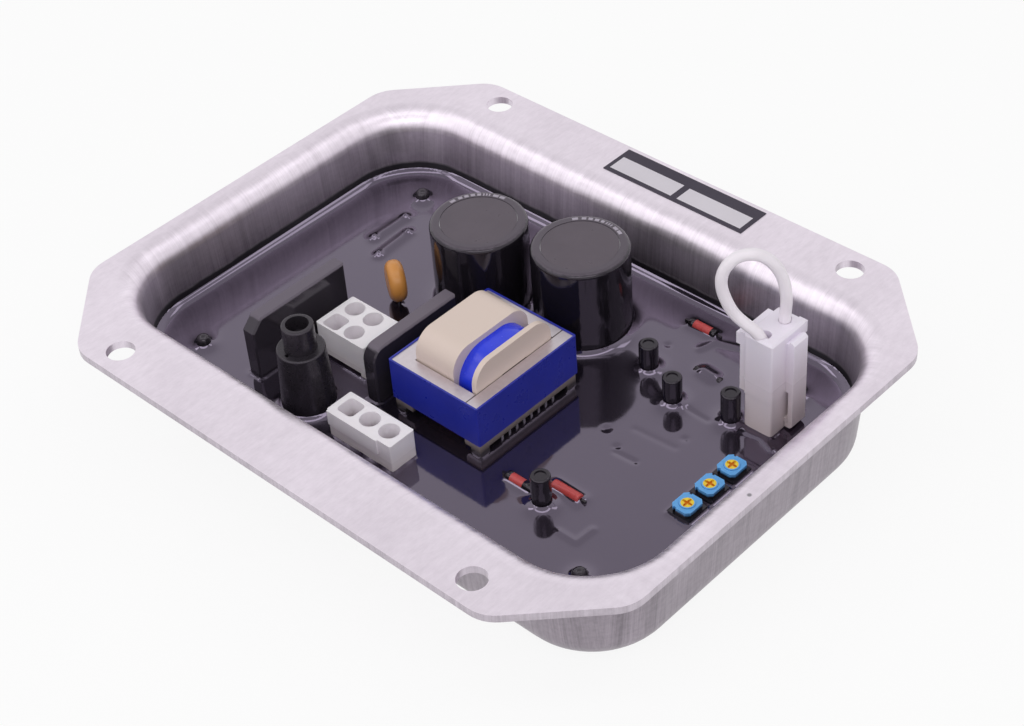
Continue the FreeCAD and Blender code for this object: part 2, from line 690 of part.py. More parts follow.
def fuse_holder_cap():
    low, high = FUSE_RIM - FUSE_CAP_DEPTH, FUSE_RIM + FUSE_CAP_RISE
    body = post(FUSE_X, FUSE_Y, FUSE_CAP_RADIUS, low, high)
    body = body.makeFillet(FUSE_CONTACT_THICKNESS, edges_at_height(body, high))
    lug_low = FUSE_RIM - BAYONET_LUG_DROP
    lugs = [
        sector(
            FUSE_X, FUSE_Y, FUSE_CAP_RADIUS + BAYONET_LUG_REACH,
            lug_low, lug_low + BAYONET_LUG_HEIGHT, side - BAYONET_LUG_DEG / 2, BAYONET_LUG_DEG,
        )
        for side in (0, 180)
    ]
    recess_floor = high - FUSE_CAP_RECESS_DEPTH
    recess = cone(FUSE_X, FUSE_Y, 0.85 * FUSE_CAP_RECESS_RADIUS, FUSE_CAP_RECESS_RADIUS, recess_floor, high)
    slot = centred_block(
        FUSE_X, FUSE_Y, 1.6 * FUSE_CAP_RECESS_RADIUS, FUSE_CAP_SLOT_WIDTH,
        recess_floor - FUSE_CAP_SLOT_DEPTH, recess_floor,
    )
    grip = post(FUSE_X, FUSE_Y, FUSE_RADIUS + RUNNING_CLEARANCE, low, fuse_low() + FUSE_LENGTH)
    return fused([body] + lugs).cut([recess, slot, grip])


def fuse_end_caps():
    low = fuse_low()
    ends = []
    for start, closed in ((low, low), (low + FUSE_LENGTH - FUSE_END_LENGTH, low + FUSE_LENGTH - FUSE_END_WALL)):
        cap = post(FUSE_X, FUSE_Y, FUSE_RADIUS, start, start + FUSE_END_LENGTH)
        bore_low = start + FUSE_END_WALL if closed == low else start
        bore = post(FUSE_X, FUSE_Y, FUSE_RADIUS - FUSE_END_WALL, bore_low, bore_low + FUSE_END_LENGTH - FUSE_END_WALL)
        ends.append(cap.cut(bore))
    return ends


def fuse_tube():
    low = fuse_low() + FUSE_END_WALL
    radius = FUSE_RADIUS - FUSE_END_WALL
    return post(FUSE_X, FUSE_Y, radius, low, low + FUSE_LENGTH - 2 * FUSE_END_WALL)


# Flat in-line power packages

def package_body(place, length, lift, rounded):
    """Moulded flat body standing on edge, with one top corner taken off as its mark."""
    x, y = place
    low = BOARD_TOP + lift
    high = low + PACKAGE_BODY_HEIGHT
    solid = centred_block(x, y, PACKAGE_THICKNESS, length, low, high)
    near = y - length / 2
    mark = [e for e in edges_at_height(solid, high) if e.BoundBox.YMax < near + 1e-4]
    if rounded:
        solid = solid.makeFillet(PACKAGE_ROUND, mark)
    else:
        solid = solid.makeChamfer(PACKAGE_CHAMFER, mark)
    rims = [e for e in solid.Edges if e.BoundBox.XLength < 1e-4 and e.BoundBox.ZMax > low + 1e-4]
    return solid.makeChamfer(PACKAGE_EDGE, rims)


def package_leads(place, length, lift):
    x, y = place
    pitch = length / PACKAGE_LEADS
    first = y - pitch * (PACKAGE_LEADS - 1) / 2
    return [flat_lead(x, first + number * pitch, BOARD_TOP + lift) for number in range(PACKAGE_LEADS)]


# Connector housings

def socket_hole(x, y, z0, z1, squared):
    if squared:
        size = 2 * SOCKET_RADIUS
        return rounded_plate(x, y, size, size, SOCKET_SQUARE_ROUND, z0, z1)
    return post(x, y, SOCKET_RADIUS, z0, z1)


def socket_pin(x, y, top):
    return post(x, y, SOCKET_PIN_RADIUS, LEAD_END, top - SOCKET_PIN_DROP)


def sensing_places():
    return [(SENSING_X + (number - 1) * SOCKET_PITCH, SENSING_Y) for number in range(3)]


def sensing_header():
    top = BOARD_TOP + SENSING_HEIGHT
    body = centred_block(SENSING_X, SENSING_Y, SENSING_LENGTH, SENSING_WIDTH, BOARD_TOP, top)
    near = SENSING_Y - SENSING_WIDTH / 2
    x0 = SENSING_X - SENSING_LENGTH / 2 + HEADER_EDGE_ROUND
    x1 = sensing_places()[-1][0]
    body = body.makeFillet(HEADER_EDGE_ROUND, vertical_edges(body))
    body = fused([body, block(x0, x1, near - SENSING_STEP, near, top - SENSING_STEP_HEIGHT, top)])
    holes = [
        socket_hole(x, y, BOARD_TOP + SOCKET_FLOOR, top, number == 0)
        for number, (x, y) in enumerate(sensing_places())
    ]
    return body.cut(holes + sensing_pins())


def sensing_pins():
    return [socket_pin(x, y, BOARD_TOP + SENSING_HEIGHT) for x, y in sensing_places()]


def power_places():
    half = SOCKET_PITCH / 2
    x = POWER_X + POWER_SOCKET_OFFSET
    return [(x - half, POWER_Y + half), (x - half, POWER_Y - half), (x + half, POWER_Y + half), (x + half, POWER_Y - half)]


def power_header():
    low = BOARD_TOP + POWER_LIFT
    top = low + POWER_BODY_HEIGHT
    body = rounded_plate(POWER_X, POWER_Y, POWER_LENGTH, POWER_WIDTH, HEADER_EDGE_ROUND, low, top)
    feet = [
        centred_block(
            POWER_X + sx * (POWER_LENGTH - POWER_FOOT) / 2, POWER_Y + sy * (POWER_WIDTH - POWER_FOOT) / 2,
            POWER_FOOT, POWER_FOOT, BOARD_TOP, low,
        ).common(rounded_plate(POWER_X, POWER_Y, POWER_LENGTH, POWER_WIDTH, HEADER_EDGE_ROUND, BOARD_TOP, low))
        for sx in (-1, 1)
        for sy in (-1, 1)
    ]
    holes = [socket_hole(x, y, low + SOCKET_FLOOR / 2, top, number == 1) for number, (x, y) in enumerate(power_places())]
    return fused([body] + feet).cut(holes + power_pins())


def power_pins():
    top = BOARD_TOP + POWER_LIFT + POWER_BODY_HEIGHT
    return [socket_pin(x, y, top) for x, y in power_places()]


# Jumper plug

def plug_places():
    return [(PLUG_X, PLUG_Y + side * PLUG_PITCH / 2) for side in (-1, 1)]


def plug_header():
    top = BOARD_TOP + PLUG_HEADER_HEIGHT
    length, width = PLUG_HEADER_LENGTH, PLUG_HEADER_WIDTH
    body = rounded_plate(PLUG_X, PLUG_Y, length, width, PLUG_EDGE_ROUND, BOARD_TOP, top)
    length, width = length - 2 * PLUG_HEADER_WALL, width - 2 * PLUG_HEADER_WALL
    hollow = centred_block(PLUG_X, PLUG_Y, length, width, BOARD_TOP + PLUG_HEADER_FLOOR, top)
    catch_x0 = PLUG_X + PLUG_HEADER_LENGTH / 2
    catch_x1 = PLUG_X + PLUG_LENGTH / 2 + LATCH_GAP - SLIP_CLEARANCE
    catch_y0 = PLUG_Y + LATCH_OFFSET_Y - LATCH_WIDTH / 2
    catch_low = top - LATCH_TAIL + LATCH_HOOK + SLIP_CLEARANCE
    catch = block(catch_x0, catch_x1, catch_y0, catch_y0 + LATCH_WIDTH, catch_low, catch_low + LATCH_HOOK)
    return fused([body, catch]).cut([hollow] + plug_header_pins())


def plug_header_pins():
    top = BOARD_TOP + PLUG_HEADER_HEIGHT
    return [post(x, y, PLUG_PIN_RADIUS, LEAD_END, top - SOCKET_PIN_DROP) for x, y in plug_places()]


def plug_latch():
    """Spring lever joined to the housing near its top, hooked under the header's catch."""
    face = PLUG_X + PLUG_LENGTH / 2
    y0 = PLUG_Y + LATCH_OFFSET_Y - LATCH_WIDTH / 2
    y1 = y0 + LATCH_WIDTH
    top = BOARD_TOP + PLUG_TOP - LATCH_TOP_DROP
    tail = BOARD_TOP + PLUG_HEADER_HEIGHT - LATCH_TAIL
    outer = face + LATCH_GAP + LATCH_THICKNESS
    lever = block(face + LATCH_GAP, outer, y0, y1, tail, top)
    slope = [e for e in lever.Edges if e.BoundBox.YLength > 1 and abs(e.BoundBox.XMin - outer) < 1e-4]
    lever = lever.makeChamfer(LATCH_THICKNESS / 2, slope)
    root = block(face, face + LATCH_GAP, y0, y1, top - LATCH_ROOT_HEIGHT, top - LATCH_THICKNESS / 2)
    hook = block(face + SLIP_CLEARANCE, face + LATCH_GAP, y0, y1, tail, tail + LATCH_HOOK)
    return [lever, root, hook]


def plug_rib_and_tabs():
    """Keying rib down one side, with a small tab on it and another on the far face."""
    seat, top = BOARD_TOP + PLUG_HEADER_HEIGHT, BOARD_TOP + PLUG_TOP
    side_x, side_y = PLUG_X - PLUG_LENGTH / 2, PLUG_Y - PLUG_WIDTH / 2 + PLUG_EDGE_ROUND
    rib_x = side_x - PLUG_RIB_REACH
    tab_top = top - PLUG_TAB_DROP
    tab_low = tab_top - PLUG_TAB_HEIGHT
    far_x, far_y = PLUG_X + PLUG_LENGTH / 2 - PLUG_EDGE_ROUND, PLUG_Y + PLUG_WIDTH / 2
    return [
        block(rib_x, side_x, side_y, side_y + PLUG_RIB_LENGTH, seat, top - PLUG_TOP_CHAMFER),
        block(rib_x - PLUG_TAB_REACH, rib_x, side_y, side_y + PLUG_TAB_LENGTH, tab_low, tab_top),
        block(far_x - PLUG_TAB_LENGTH, far_x, far_y, far_y + PLUG_TAB_REACH, tab_low, tab_top),
    ]


def plug_housing():
    seat = BOARD_TOP + PLUG_HEADER_HEIGHT
    top = BOARD_TOP + PLUG_TOP
    upper = rounded_plate(PLUG_X, PLUG_Y, PLUG_LENGTH, PLUG_WIDTH, PLUG_EDGE_ROUND, seat, top)
    upper = upper.makeChamfer(PLUG_TOP_CHAMFER, edges_at_height(upper, top))
    inset = 2 * (PLUG_HEADER_WALL + SLIP_CLEARANCE)
    length, width = PLUG_HEADER_LENGTH - inset, PLUG_HEADER_WIDTH - inset
    nose = centred_block(PLUG_X, PLUG_Y, length, width, seat - PLUG_NOSE_DEPTH, seat)
    ways = []
    for x, y in plug_places():
        crimp_low = seat - PLUG_NOSE_DEPTH
        ways.append(post(x, y, CRIMP_RADIUS, crimp_low, crimp_low + CRIMP_LENGTH))
        ways.append(post(x, y, WIRE_DIAMETER / 2 + RUNNING_CLEARANCE, crimp_low + CRIMP_LENGTH, top))
    return fused([upper, nose] + plug_rib_and_tabs() + plug_latch()).cut(ways + [jumper_wire_clearance()])


def plug_sockets():
    """Crimped sleeves that grip the header's pins inside the plug."""
    low = BOARD_TOP + PLUG_HEADER_HEIGHT - PLUG_NOSE_DEPTH
    pin_top = BOARD_TOP + PLUG_HEADER_HEIGHT - SOCKET_PIN_DROP
    return [
        post(x, y, CRIMP_RADIUS, low, low + CRIMP_LENGTH).cut(post(x, y, PLUG_PIN_RADIUS, low, pin_top))
        for x, y in plug_places()
    ]


# Jumper wire

def wire_route():
    """Corners of the route, from the crimp at one end of the loop to the crimp at the other."""
    half, top = PLUG_PITCH / 2, BOARD_TOP + PLUG_TOP
    crimp_top = BOARD_TOP + PLUG_HEADER_HEIGHT - PLUG_NOSE_DEPTH + CRIMP_LENGTH
    points = [(0, half, crimp_top - top), (0, half, -WIRE_WAY_DEPTH)]
    points += WIRE_LOOP
    points += [(0, -half, -WIRE_WAY_DEPTH), (0, -half, crimp_top - top)]
    return [Vector(PLUG_X + x, PLUG_Y + y, top + z) for x, y, z in points]


def rounded_path(corners):
    """Straight runs joined by tangent arcs: the path and the radius of each bend."""
    edges, radii, start = [], [], corners[0]
    for before, corner, after in zip(corners, corners[1:], corners[2:]):
        back, ahead = before - corner, after - corner
        shorter = min(back.Length, ahead.Length)
        setback = WIRE_BEND_SHARE * shorter
        half_turn = (math.pi - back.getAngle(ahead)) / 2
        radius = setback / math.tan(half_turn)
        back.normalize()
        ahead.normalize()
        enter, leave = corner + back * setback, corner + ahead * setback
        inward = (back + ahead).normalize()
        middle = corner + inward * (radius / math.cos(half_turn) - radius)
        edges += [Part.makeLine(start, enter), Part.Arc(enter, middle, leave).toShape()]
        radii.append(radius)
        start = leave
    edges.append(Part.makeLine(start, corners[-1]))
    return Part.Wire(edges), radii


def wire_tube(diameter):
    route = wire_route()
    path, radii = rounded_path(route)
    profile = Part.Wire([Part.makeCircle(diameter / 2, route[0], route[1] - route[0])])
    return path.makePipeShell([profile], True, False), path.Length, radii


def jumper_wire():
    tube, length, radii = wire_tube(WIRE_DIAMETER)
    section = math.pi * WIRE_DIAMETER ** 2 / 4
    print("jumper wire length", round(length, 1), "volume over section times length", round(tube.Volume / (section * length), 4))
    print("jumper wire bend radii", [round(radius, 1) for radius in radii])
    return tube


def jumper_wire_clearance():
    return wire_tube(WIRE_DIAMETER + 2 * SLIP_CLEARANCE)[0]


# Disc varistor

def disc_varistor():
    """Dipped disc standing on edge, turned by hand out of line with the board."""
    disc = Part.makeCylinder(DISC_RADIUS, DISC_THICKNESS, Vector(0, 0, -DISC_THICKNESS / 2), UP)
    disc = disc.makeFillet(DISC_ROUND, [e for e in disc.Edges if e.BoundBox.ZLength < 1e-4])
    disc = disc.rotate(Vector(0, 0, 0), Vector(1, 0, 0), 90)
    disc = disc.rotate(Vector(0, 0, 0), UP, DISC_TURN_DEG)
    disc = disc.translate(Vector(DISC_X, DISC_Y, BOARD_TOP + DISC_LIFT + DISC_RADIUS))
    return disc.cut(disc_leads())


def disc_leads():
    turn = math.radians(DISC_TURN_DEG)
    half = DISC_LEAD_PITCH / 2
    drop = DISC_RADIUS - math.sqrt(DISC_RADIUS ** 2 - half ** 2)
    top = BOARD_TOP + DISC_LIFT + drop + 2 * LEAD_SIZE
    return [
        square_lead(DISC_X + side * half * math.cos(turn), DISC_Y + side * half * math.sin(turn), top)
        for side in (-1, 1)
    ]


# Axial parts

def red_body(place):
    """Plain film body with its edges just rounded."""
    x, y, along = place
    half, z = RED_RESISTOR_LENGTH / 2, BOARD_TOP + RED_RESISTOR_LIFT
    solid = Part.makeCylinder(RED_RESISTOR_RADIUS, RED_RESISTOR_LENGTH, Vector(x - half, y, z), Vector(1, 0, 0))
    solid = solid.makeChamfer(AXIAL_BODY_WAIST, [e for e in solid.Edges if e.BoundBox.XLength < 1e-4])
    return solid.rotate(Vector(x, y, z), UP, 90 if along == "Y" else 0)


def coated_body(place):
    """Moulded body, a little thicker at its ends than in the middle."""
    x, y, along = place
    radius, length, lift = COATED_RESISTOR_RADIUS, COATED_RESISTOR_LENGTH, COATED_RESISTOR_LIFT
    half, waist, end = length / 2, radius - AXIAL_BODY_WAIST, length / 5
    points = [
        (-half, 0), (-half, waist), (-half + end / 4, radius), (-half + end, radius), (-half + 1.5 * end, waist),
        (half - 1.5 * end, waist), (half - end, radius), (half - end / 4, radius), (half, waist), (half, 0),
    ]
    corners = [Vector(px, 0, pz) for px, pz in points]
    outline = Part.Face(Part.makePolygon(corners + corners[:1]))
    solid = outline.revolve(Vector(0, 0, 0), Vector(1, 0, 0), 360)
    if along == "Y":
        solid = solid.rotate(Vector(0, 0, 0), UP, 90)
    return solid.translate(Vector(x, y, BOARD_TOP + lift))


def axial_leads(place, length, lift):
    """A lead from each end of the body, bent straight down through the board."""
    x, y, along = place
    z, half = BOARD_TOP + lift, LEAD_SIZE / 2
    leads = []
    for side in (-1, 1):
        near, far = sorted((side * length / 2, side * (length / 2 + AXIAL_LEAD_REACH)))
        bend = side * (length / 2 + AXIAL_LEAD_REACH - half)
        arm = block(near, far, -half, half, z - half, z + half)
        leg = centred_block(bend, 0, LEAD_SIZE, LEAD_SIZE, LEAD_END, z + half)
        lead = fused([arm, leg])
        if along == "Y":
            lead = lead.rotate(Vector(0, 0, 0), UP, 90)
        leads.append(lead.translate(Vector(x, y, 0)))
    return leads


def all_axial_leads():
    leads = []
    for place in COATED_RESISTORS:
        leads += axial_leads(place, COATED_RESISTOR_LENGTH, COATED_RESISTOR_LIFT)
    for place in RED_RESISTORS:
        leads += axial_leads(place, RED_RESISTOR_LENGTH, RED_RESISTOR_LIFT)
    return leads


# Trimmers

TRIMMER_TOP = BOARD_TOP + TRIMMER_HEIGHT
ROTOR_FLOOR = TRIMMER_TOP + ROTOR_PROUD - ROTOR_HEIGHT


def trimmer_places():
    first = TRIMMER_Y - TRIMMER_PITCH * (TRIMMER_COUNT - 1) / 2
    return [(TRIMMER_X, first + number * TRIMMER_PITCH) for number in range(TRIMMER_COUNT)]


def trimmer_outline(x, y):
    margin = 2 * TRIMMER_BASE_MARGIN
    base_top = BOARD_TOP + TRIMMER_BASE_HEIGHT
    base = centred_block(x, y, TRIMMER_SIZE_X + margin, TRIMMER_SIZE_Y + margin, BOARD_TOP, base_top)
    upper = centred_block(x, y, TRIMMER_SIZE_X, TRIMMER_SIZE_Y, base_top, TRIMMER_TOP)
    upper = upper.makeChamfer(TRIMMER_CORNER_CUT, vertical_edges(upper))
    return fused([base, upper])


def trimmer_body(x, y):
    """Square case with a round well for its rotor and a notch in two of its sides."""
    well = post(x, y, ROTOR_RADIUS + RUNNING_CLEARANCE, ROTOR_FLOOR - RUNNING_CLEARANCE, TRIMMER_TOP)
    stub_low = ROTOR_FLOOR - ROTOR_STUB_LENGTH - RUNNING_CLEARANCE
    bore = post(x, y, ROTOR_STUB_RADIUS + RUNNING_CLEARANCE, stub_low, TRIMMER_TOP)
    notches = [
        centred_block(
            x + TRIMMER_NOTCH_OFFSET, y + side * TRIMMER_SIZE_Y / 2, TRIMMER_NOTCH, TRIMMER_NOTCH,
            BOARD_TOP + TRIMMER_BASE_HEIGHT, TRIMMER_TOP,
        )
        for side in (-1, 1)
    ]
    return trimmer_outline(x, y).cut([well, bore] + notches)


def trimmer_rotor(x, y):
    """Round rotor with a cross slot, turning on a stub in the case."""
    top = ROTOR_FLOOR + ROTOR_HEIGHT
    disc = post(x, y, ROTOR_RADIUS, ROTOR_FLOOR, top)
    stub = post(x, y, ROTOR_STUB_RADIUS, ROTOR_FLOOR - ROTOR_STUB_LENGTH, ROTOR_FLOOR)
    low = top - ROTOR_SLOT_DEPTH
    slots = [
        centred_block(x, y, ROTOR_SLOT_LENGTH, ROTOR_SLOT_WIDTH, low, top),
        centred_block(x, y, ROTOR_SLOT_WIDTH, ROTOR_SLOT_LENGTH, low, top),
    ]
    return fused([disc, stub]).cut(slots)


def trimmer_pins():
    pins = []
    for x, y in trimmer_places():
        for dx, dy in ((-1, -1), (-1, 1), (1, 0)):
            pins.append(square_lead(x + dx * TRIMMER_LEAD_SPREAD, y + dy * TRIMMER_LEAD_SPREAD, BOARD_TOP))
    return pins


# Assembly

def component_nodes():
    """Every piece above the board, by node name."""
    nodes = {}
    for number, (x, y) in enumerate(CAPACITOR_PLACES, 1):
        name = f"main_capacitor_{number}"
        nodes[f"{name}_can"] = capacitor_can(x, y)
        nodes[f"{name}_sleeve"] = capacitor_sleeve(x, y)
        nodes[f"{name}_end_disc"] = capacitor_disc(x, y)
        nodes[f"{name}_seal"] = capacitor_seal(x, y)
        nodes[f"{name}_terminals"] = capacitor_terminals(x, y)
    for number, (x, y, height) in enumerate(SMALL_CAPACITORS, 1):
        nodes[f"small_capacitor_{number}"] = small_capacitor(x, y, height)
    nodes["transformer_e_core"] = transformer_e_core()
    nodes["transformer_i_core"] = transformer_i_core()
    nodes["transformer_tape"] = transformer_tape()
    nodes["transformer_bobbin"] = transformer_bobbin()
    nodes["transformer_shroud"] = transformer_shroud()
    nodes["transformer_primary_winding"] = primary_winding()
    nodes["transformer_secondary_winding"] = secondary_winding()
    nodes["transformer_pins"] = transformer_pins()
    nodes["fuse_holder_body"] = fuse_holder_body()
    nodes["fuse_holder_cap"] = fuse_holder_cap()
    nodes["fuse_holder_contacts"] = fuse_contacts()
    nodes["fuse_tube"] = fuse_tube()
    nodes["fuse_end_caps"] = fuse_end_caps()
    nodes["bridge_rectifier_body"] = package_body(RECTIFIER_PLACE, RECTIFIER_LENGTH, RECTIFIER_LIFT, False)
    nodes["bridge_rectifier_leads"] = package_leads(RECTIFIER_PLACE, RECTIFIER_LENGTH, RECTIFIER_LIFT)
    nodes["thyristor_module_body"] = package_body(THYRISTOR_PLACE, THYRISTOR_LENGTH, THYRISTOR_LIFT, True)
    nodes["thyristor_module_leads"] = package_leads(THYRISTOR_PLACE, THYRISTOR_LENGTH, THYRISTOR_LIFT)
    nodes["power_header_housing"] = power_header()
    nodes["power_header_pins"] = power_pins()
    nodes["sensing_header_housing"] = sensing_header()
    nodes["sensing_header_pins"] = sensing_pins()
    nodes["jumper_header_housing"] = plug_header()
    nodes["jumper_header_pins"] = plug_header_pins()
    nodes["jumper_plug_housing"] = plug_housing()
    nodes["jumper_plug_sockets"] = plug_sockets()
    nodes["jumper_wire"] = jumper_wire()
    nodes["disc_varistor"] = disc_varistor()
    nodes["radial_leads"] = small_capacitor_leads() + disc_leads()
    nodes["coated_resistors"] = [coated_body(place) for place in COATED_RESISTORS]
    nodes["red_resistors"] = [red_body(place) for place in RED_RESISTORS]
    nodes["axial_leads"] = all_axial_leads()
    for number, (x, y) in enumerate(trimmer_places(), 1):
        nodes[f"trimmer_{number}_body"] = trimmer_body(x, y)
        nodes[f"trimmer_{number}_rotor"] = trimmer_rotor(x, y)
    nodes["trimmer_pins"] = trimmer_pins()
    return nodes


def closed_outlines():
    """Hollow components as the compound sees them: closed from outside."""
    outlines = [capacitor_outline(x, y) for x, y in CAPACITOR_PLACES]
    outlines += [trimmer_outline(x, y) for x, y in trimmer_places()]
    outlines.append(fuse_holder_outline())
    outlines.append(centred_block(PLUG_X, PLUG_Y, PLUG_HEADER_LENGTH, PLUG_HEADER_WIDTH, BOARD_TOP, POTTING_LEVEL))
    outlines.append(centred_block(SENSING_X, SENSING_Y, SENSING_LENGTH, SENSING_WIDTH, BOARD_TOP, POTTING_LEVEL))
    return outlines


def as_list(item):
    return item if isinstance(item, list) else [item]


def circuit_board(nodes):
    plate = rounded_plate(0, 0, BOARD_LENGTH, BOARD_WIDTH, BOARD_CORNER_RADIUS, BOARD_BOTTOM, BOARD_TOP)
    through = [solid for item in nodes.values() for solid in as_list(item) if solid.BoundBox.ZMin < BOARD_BOTTOM]
    return plate.cut(through)


def potting(nodes, board):
    """Compound poured round the board and the feet of the components."""
    reach_x, reach_y = CAVITY_LENGTH, CAVITY_WIDTH
    pool = cavity().common(block(-reach_x, reach_x, -reach_y, reach_y, 0, POTTING_LEVEL))
    sunk = [solid for item in nodes.values() for solid in as_list(item) if solid.BoundBox.ZMin < POTTING_LEVEL]
    return pool.cut([board] + sunk + closed_outlines())


def build():
    nodes = component_nodes()
    nodes["support_posts"] = support_posts()
    board = circuit_board(nodes)
    compound = potting(nodes, board)
    nodes["tray"] = tray()
    nodes["label"] = label()
    nodes["circuit_board"] = board
    nodes["potting"] = compound
    return nodes


def write(nodes):
    os.makedirs("parts", exist_ok=True)
    for name, item in nodes.items():
        solids = [solid for shape in as_list(item) for solid in shape.Solids]
        shape = solids[0] if len(solids) == 1 else Part.makeCompound(solids)
        shape.exportStep(f"parts/{name}.step")
        print(name, "solids", len(solids), "valid", shape.isValid(), "volume", round(shape.Volume, 2))


write(build())
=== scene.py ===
import json
import math

import bpy
import numpy as np
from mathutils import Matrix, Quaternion, Vector


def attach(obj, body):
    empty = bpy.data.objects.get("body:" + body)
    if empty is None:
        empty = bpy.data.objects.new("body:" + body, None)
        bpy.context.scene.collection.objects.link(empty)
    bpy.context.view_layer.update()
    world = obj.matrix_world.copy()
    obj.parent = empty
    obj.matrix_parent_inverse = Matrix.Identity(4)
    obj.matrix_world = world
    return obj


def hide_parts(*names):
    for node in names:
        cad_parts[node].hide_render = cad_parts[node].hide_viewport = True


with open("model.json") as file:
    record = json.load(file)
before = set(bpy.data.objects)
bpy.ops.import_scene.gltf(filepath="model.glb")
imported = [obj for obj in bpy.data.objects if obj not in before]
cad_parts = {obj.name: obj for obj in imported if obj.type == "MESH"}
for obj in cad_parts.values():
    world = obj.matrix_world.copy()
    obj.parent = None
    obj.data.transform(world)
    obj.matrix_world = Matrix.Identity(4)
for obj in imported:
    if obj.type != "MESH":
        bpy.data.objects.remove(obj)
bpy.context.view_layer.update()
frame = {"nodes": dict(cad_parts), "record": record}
NODES = frame["nodes"]
MM = 0.001

# Levels of the model, in millimetres
FLANGE_TOP = 31.0
POTTING_LEVEL = 12.5


# Camera and light

CAMERA_PLACE = (277.6, -262.0, 341.6)
CAMERA_TARGET = (2.05, 4.55, 12.5)
CAMERA_ROLL_DEG = -4.63
CAMERA_LENS = 73.35
SENSOR = 36.0


def make_camera():
    data = bpy.data.cameras.new("camera")
    data.lens = CAMERA_LENS
    data.sensor_width = SENSOR
    data.sensor_fit = "HORIZONTAL"
    data.clip_start = 0.01
    data.clip_end = 20.0
    camera = bpy.data.objects.new("camera", data)
    bpy.context.scene.collection.objects.link(camera)
    place, target = Vector(CAMERA_PLACE) * MM, Vector(CAMERA_TARGET) * MM
    camera.location = place
    camera.rotation_mode = "QUATERNION"
    aim = (target - place).to_track_quat("-Z", "Y")
    camera.rotation_quaternion = aim @ Quaternion((0, 0, 1), math.radians(CAMERA_ROLL_DEG))
    bpy.context.scene.camera = camera


def area_light(name, place, size, power, size_y=None):
    """Lamp aimed at the origin."""
    data = bpy.data.lights.new(name, "AREA")
    data.energy = power
    data.size = size
    if size_y:
        data.shape = "RECTANGLE"
        data.size_y = size_y
    light = bpy.data.objects.new(name, data)
    bpy.context.scene.collection.objects.link(light)
    light.location = place
    light.rotation_mode = "QUATERNION"
    light.rotation_quaternion = (-Vector(place)).to_track_quat("-Z", "Y")


# Light of the surroundings, and how the white that is seen directly dims with height
WORLD_LIGHT = 0.52
SKY_DIM_FROM = 0.60
SKY_DIM_TO = 0.80
SKY_DIMMEST = 0.75

# Floor: its half size and its gap under the object in metres, and how much of it shows as white
FLOOR_HALF = 4.0
FLOOR_DROP = 0.0002
FLOOR_WHITE_SHARE = 0.88


def seen_directly(tree):
    """1 for rays that show a surface as it is: camera, glossy and transmission rays."""
    path = tree.nodes.new("ShaderNodeLightPath")
    value = path.outputs["Is Camera Ray"]
    for name in ("Is Glossy Ray", "Is Transmission Ray"):
        either = tree.nodes.new("ShaderNodeMath")
        either.operation = "MAXIMUM"
        tree.links.new(value, either.inputs[0])
        tree.links.new(path.outputs[name], either.inputs[1])
        value = either.outputs[0]
    return value


def make_world():
    """White all round: weaker where it lights the object than where it is seen directly."""
    world = bpy.data.worlds.new("studio")
    bpy.context.scene.world = world
    world.use_nodes = True
    tree = world.node_tree
    tree.nodes.clear()
    out = tree.nodes.new("ShaderNodeOutputWorld")
    mix = tree.nodes.new("ShaderNodeMixShader")
    lighting, seen = (tree.nodes.new("ShaderNodeBackground") for _ in range(2))
    for number, tone in enumerate((lighting, seen), 1):
        tone.inputs["Color"].default_value = (1, 1, 1, 1)
        tree.links.new(tone.outputs[0], mix.inputs[number])
    lighting.inputs["Strength"].default_value = WORLD_LIGHT
    way = tree.nodes.new("ShaderNodeSeparateXYZ")
    tree.links.new(tree.nodes.new("ShaderNodeTexCoord").outputs["Generated"], way.inputs[0])
    dim = tree.nodes.new("ShaderNodeMapRange")
    limits = (("From Min", SKY_DIM_FROM), ("From Max", SKY_DIM_TO), ("To Min", 1.0), ("To Max", SKY_DIMMEST))
    for key, value in limits:
        dim.inputs[key].default_value = value
    tree.links.new(way.outputs["Z"], dim.inputs["Value"])
    tree.links.new(dim.outputs["Result"], seen.inputs["Strength"])
    tree.links.new(seen_directly(tree), mix.inputs["Fac"])
    tree.links.new(mix.outputs[0], out.inputs["Surface"])


def make_floor():
    """Pale floor that shows nearly white, with a faint shadow under the object."""
    mesh = bpy.data.meshes.new("floor")
    corners = [(-1, -1), (1, -1), (1, 1), (-1, 1)]
    mesh.from_pydata([(x * FLOOR_HALF, y * FLOOR_HALF, 0) for x, y in corners], [], [(0, 1, 2, 3)])
    floor = bpy.data.objects.new("floor", mesh)
    floor.location.z = -FLOOR_DROP
    bpy.context.scene.collection.objects.link(floor)
    made = bpy.data.materials.new("floor")
    made.use_nodes = True
    tree = made.node_tree
    tree.nodes.clear()
    out = tree.nodes.new("ShaderNodeOutputMaterial")
    matt = tree.nodes.new("ShaderNodeBsdfDiffuse")
    matt.inputs["Color"].default_value = (0.9, 0.9, 0.9, 1)
    white = tree.nodes.new("ShaderNodeEmission")
    white.inputs["Color"].default_value = (1, 1, 1, 1)
    white.inputs["Strength"].default_value = 1.0
    share = tree.nodes.new("ShaderNodeMath")
    share.operation = "MULTIPLY"
    share.inputs[1].default_value = FLOOR_WHITE_SHARE
    mix = tree.nodes.new("ShaderNodeMixShader")
    tree.links.new(seen_directly(tree), share.inputs[0])
    tree.links.new(share.outputs[0], mix.inputs["Fac"])
    tree.links.new(matt.outputs[0], mix.inputs[1])
    tree.links.new(white.outputs[0], mix.inputs[2])
    tree.links.new(mix.outputs[0], out.inputs["Surface"])
    mesh.materials.append(made)


make_camera()
make_world()
make_floor()

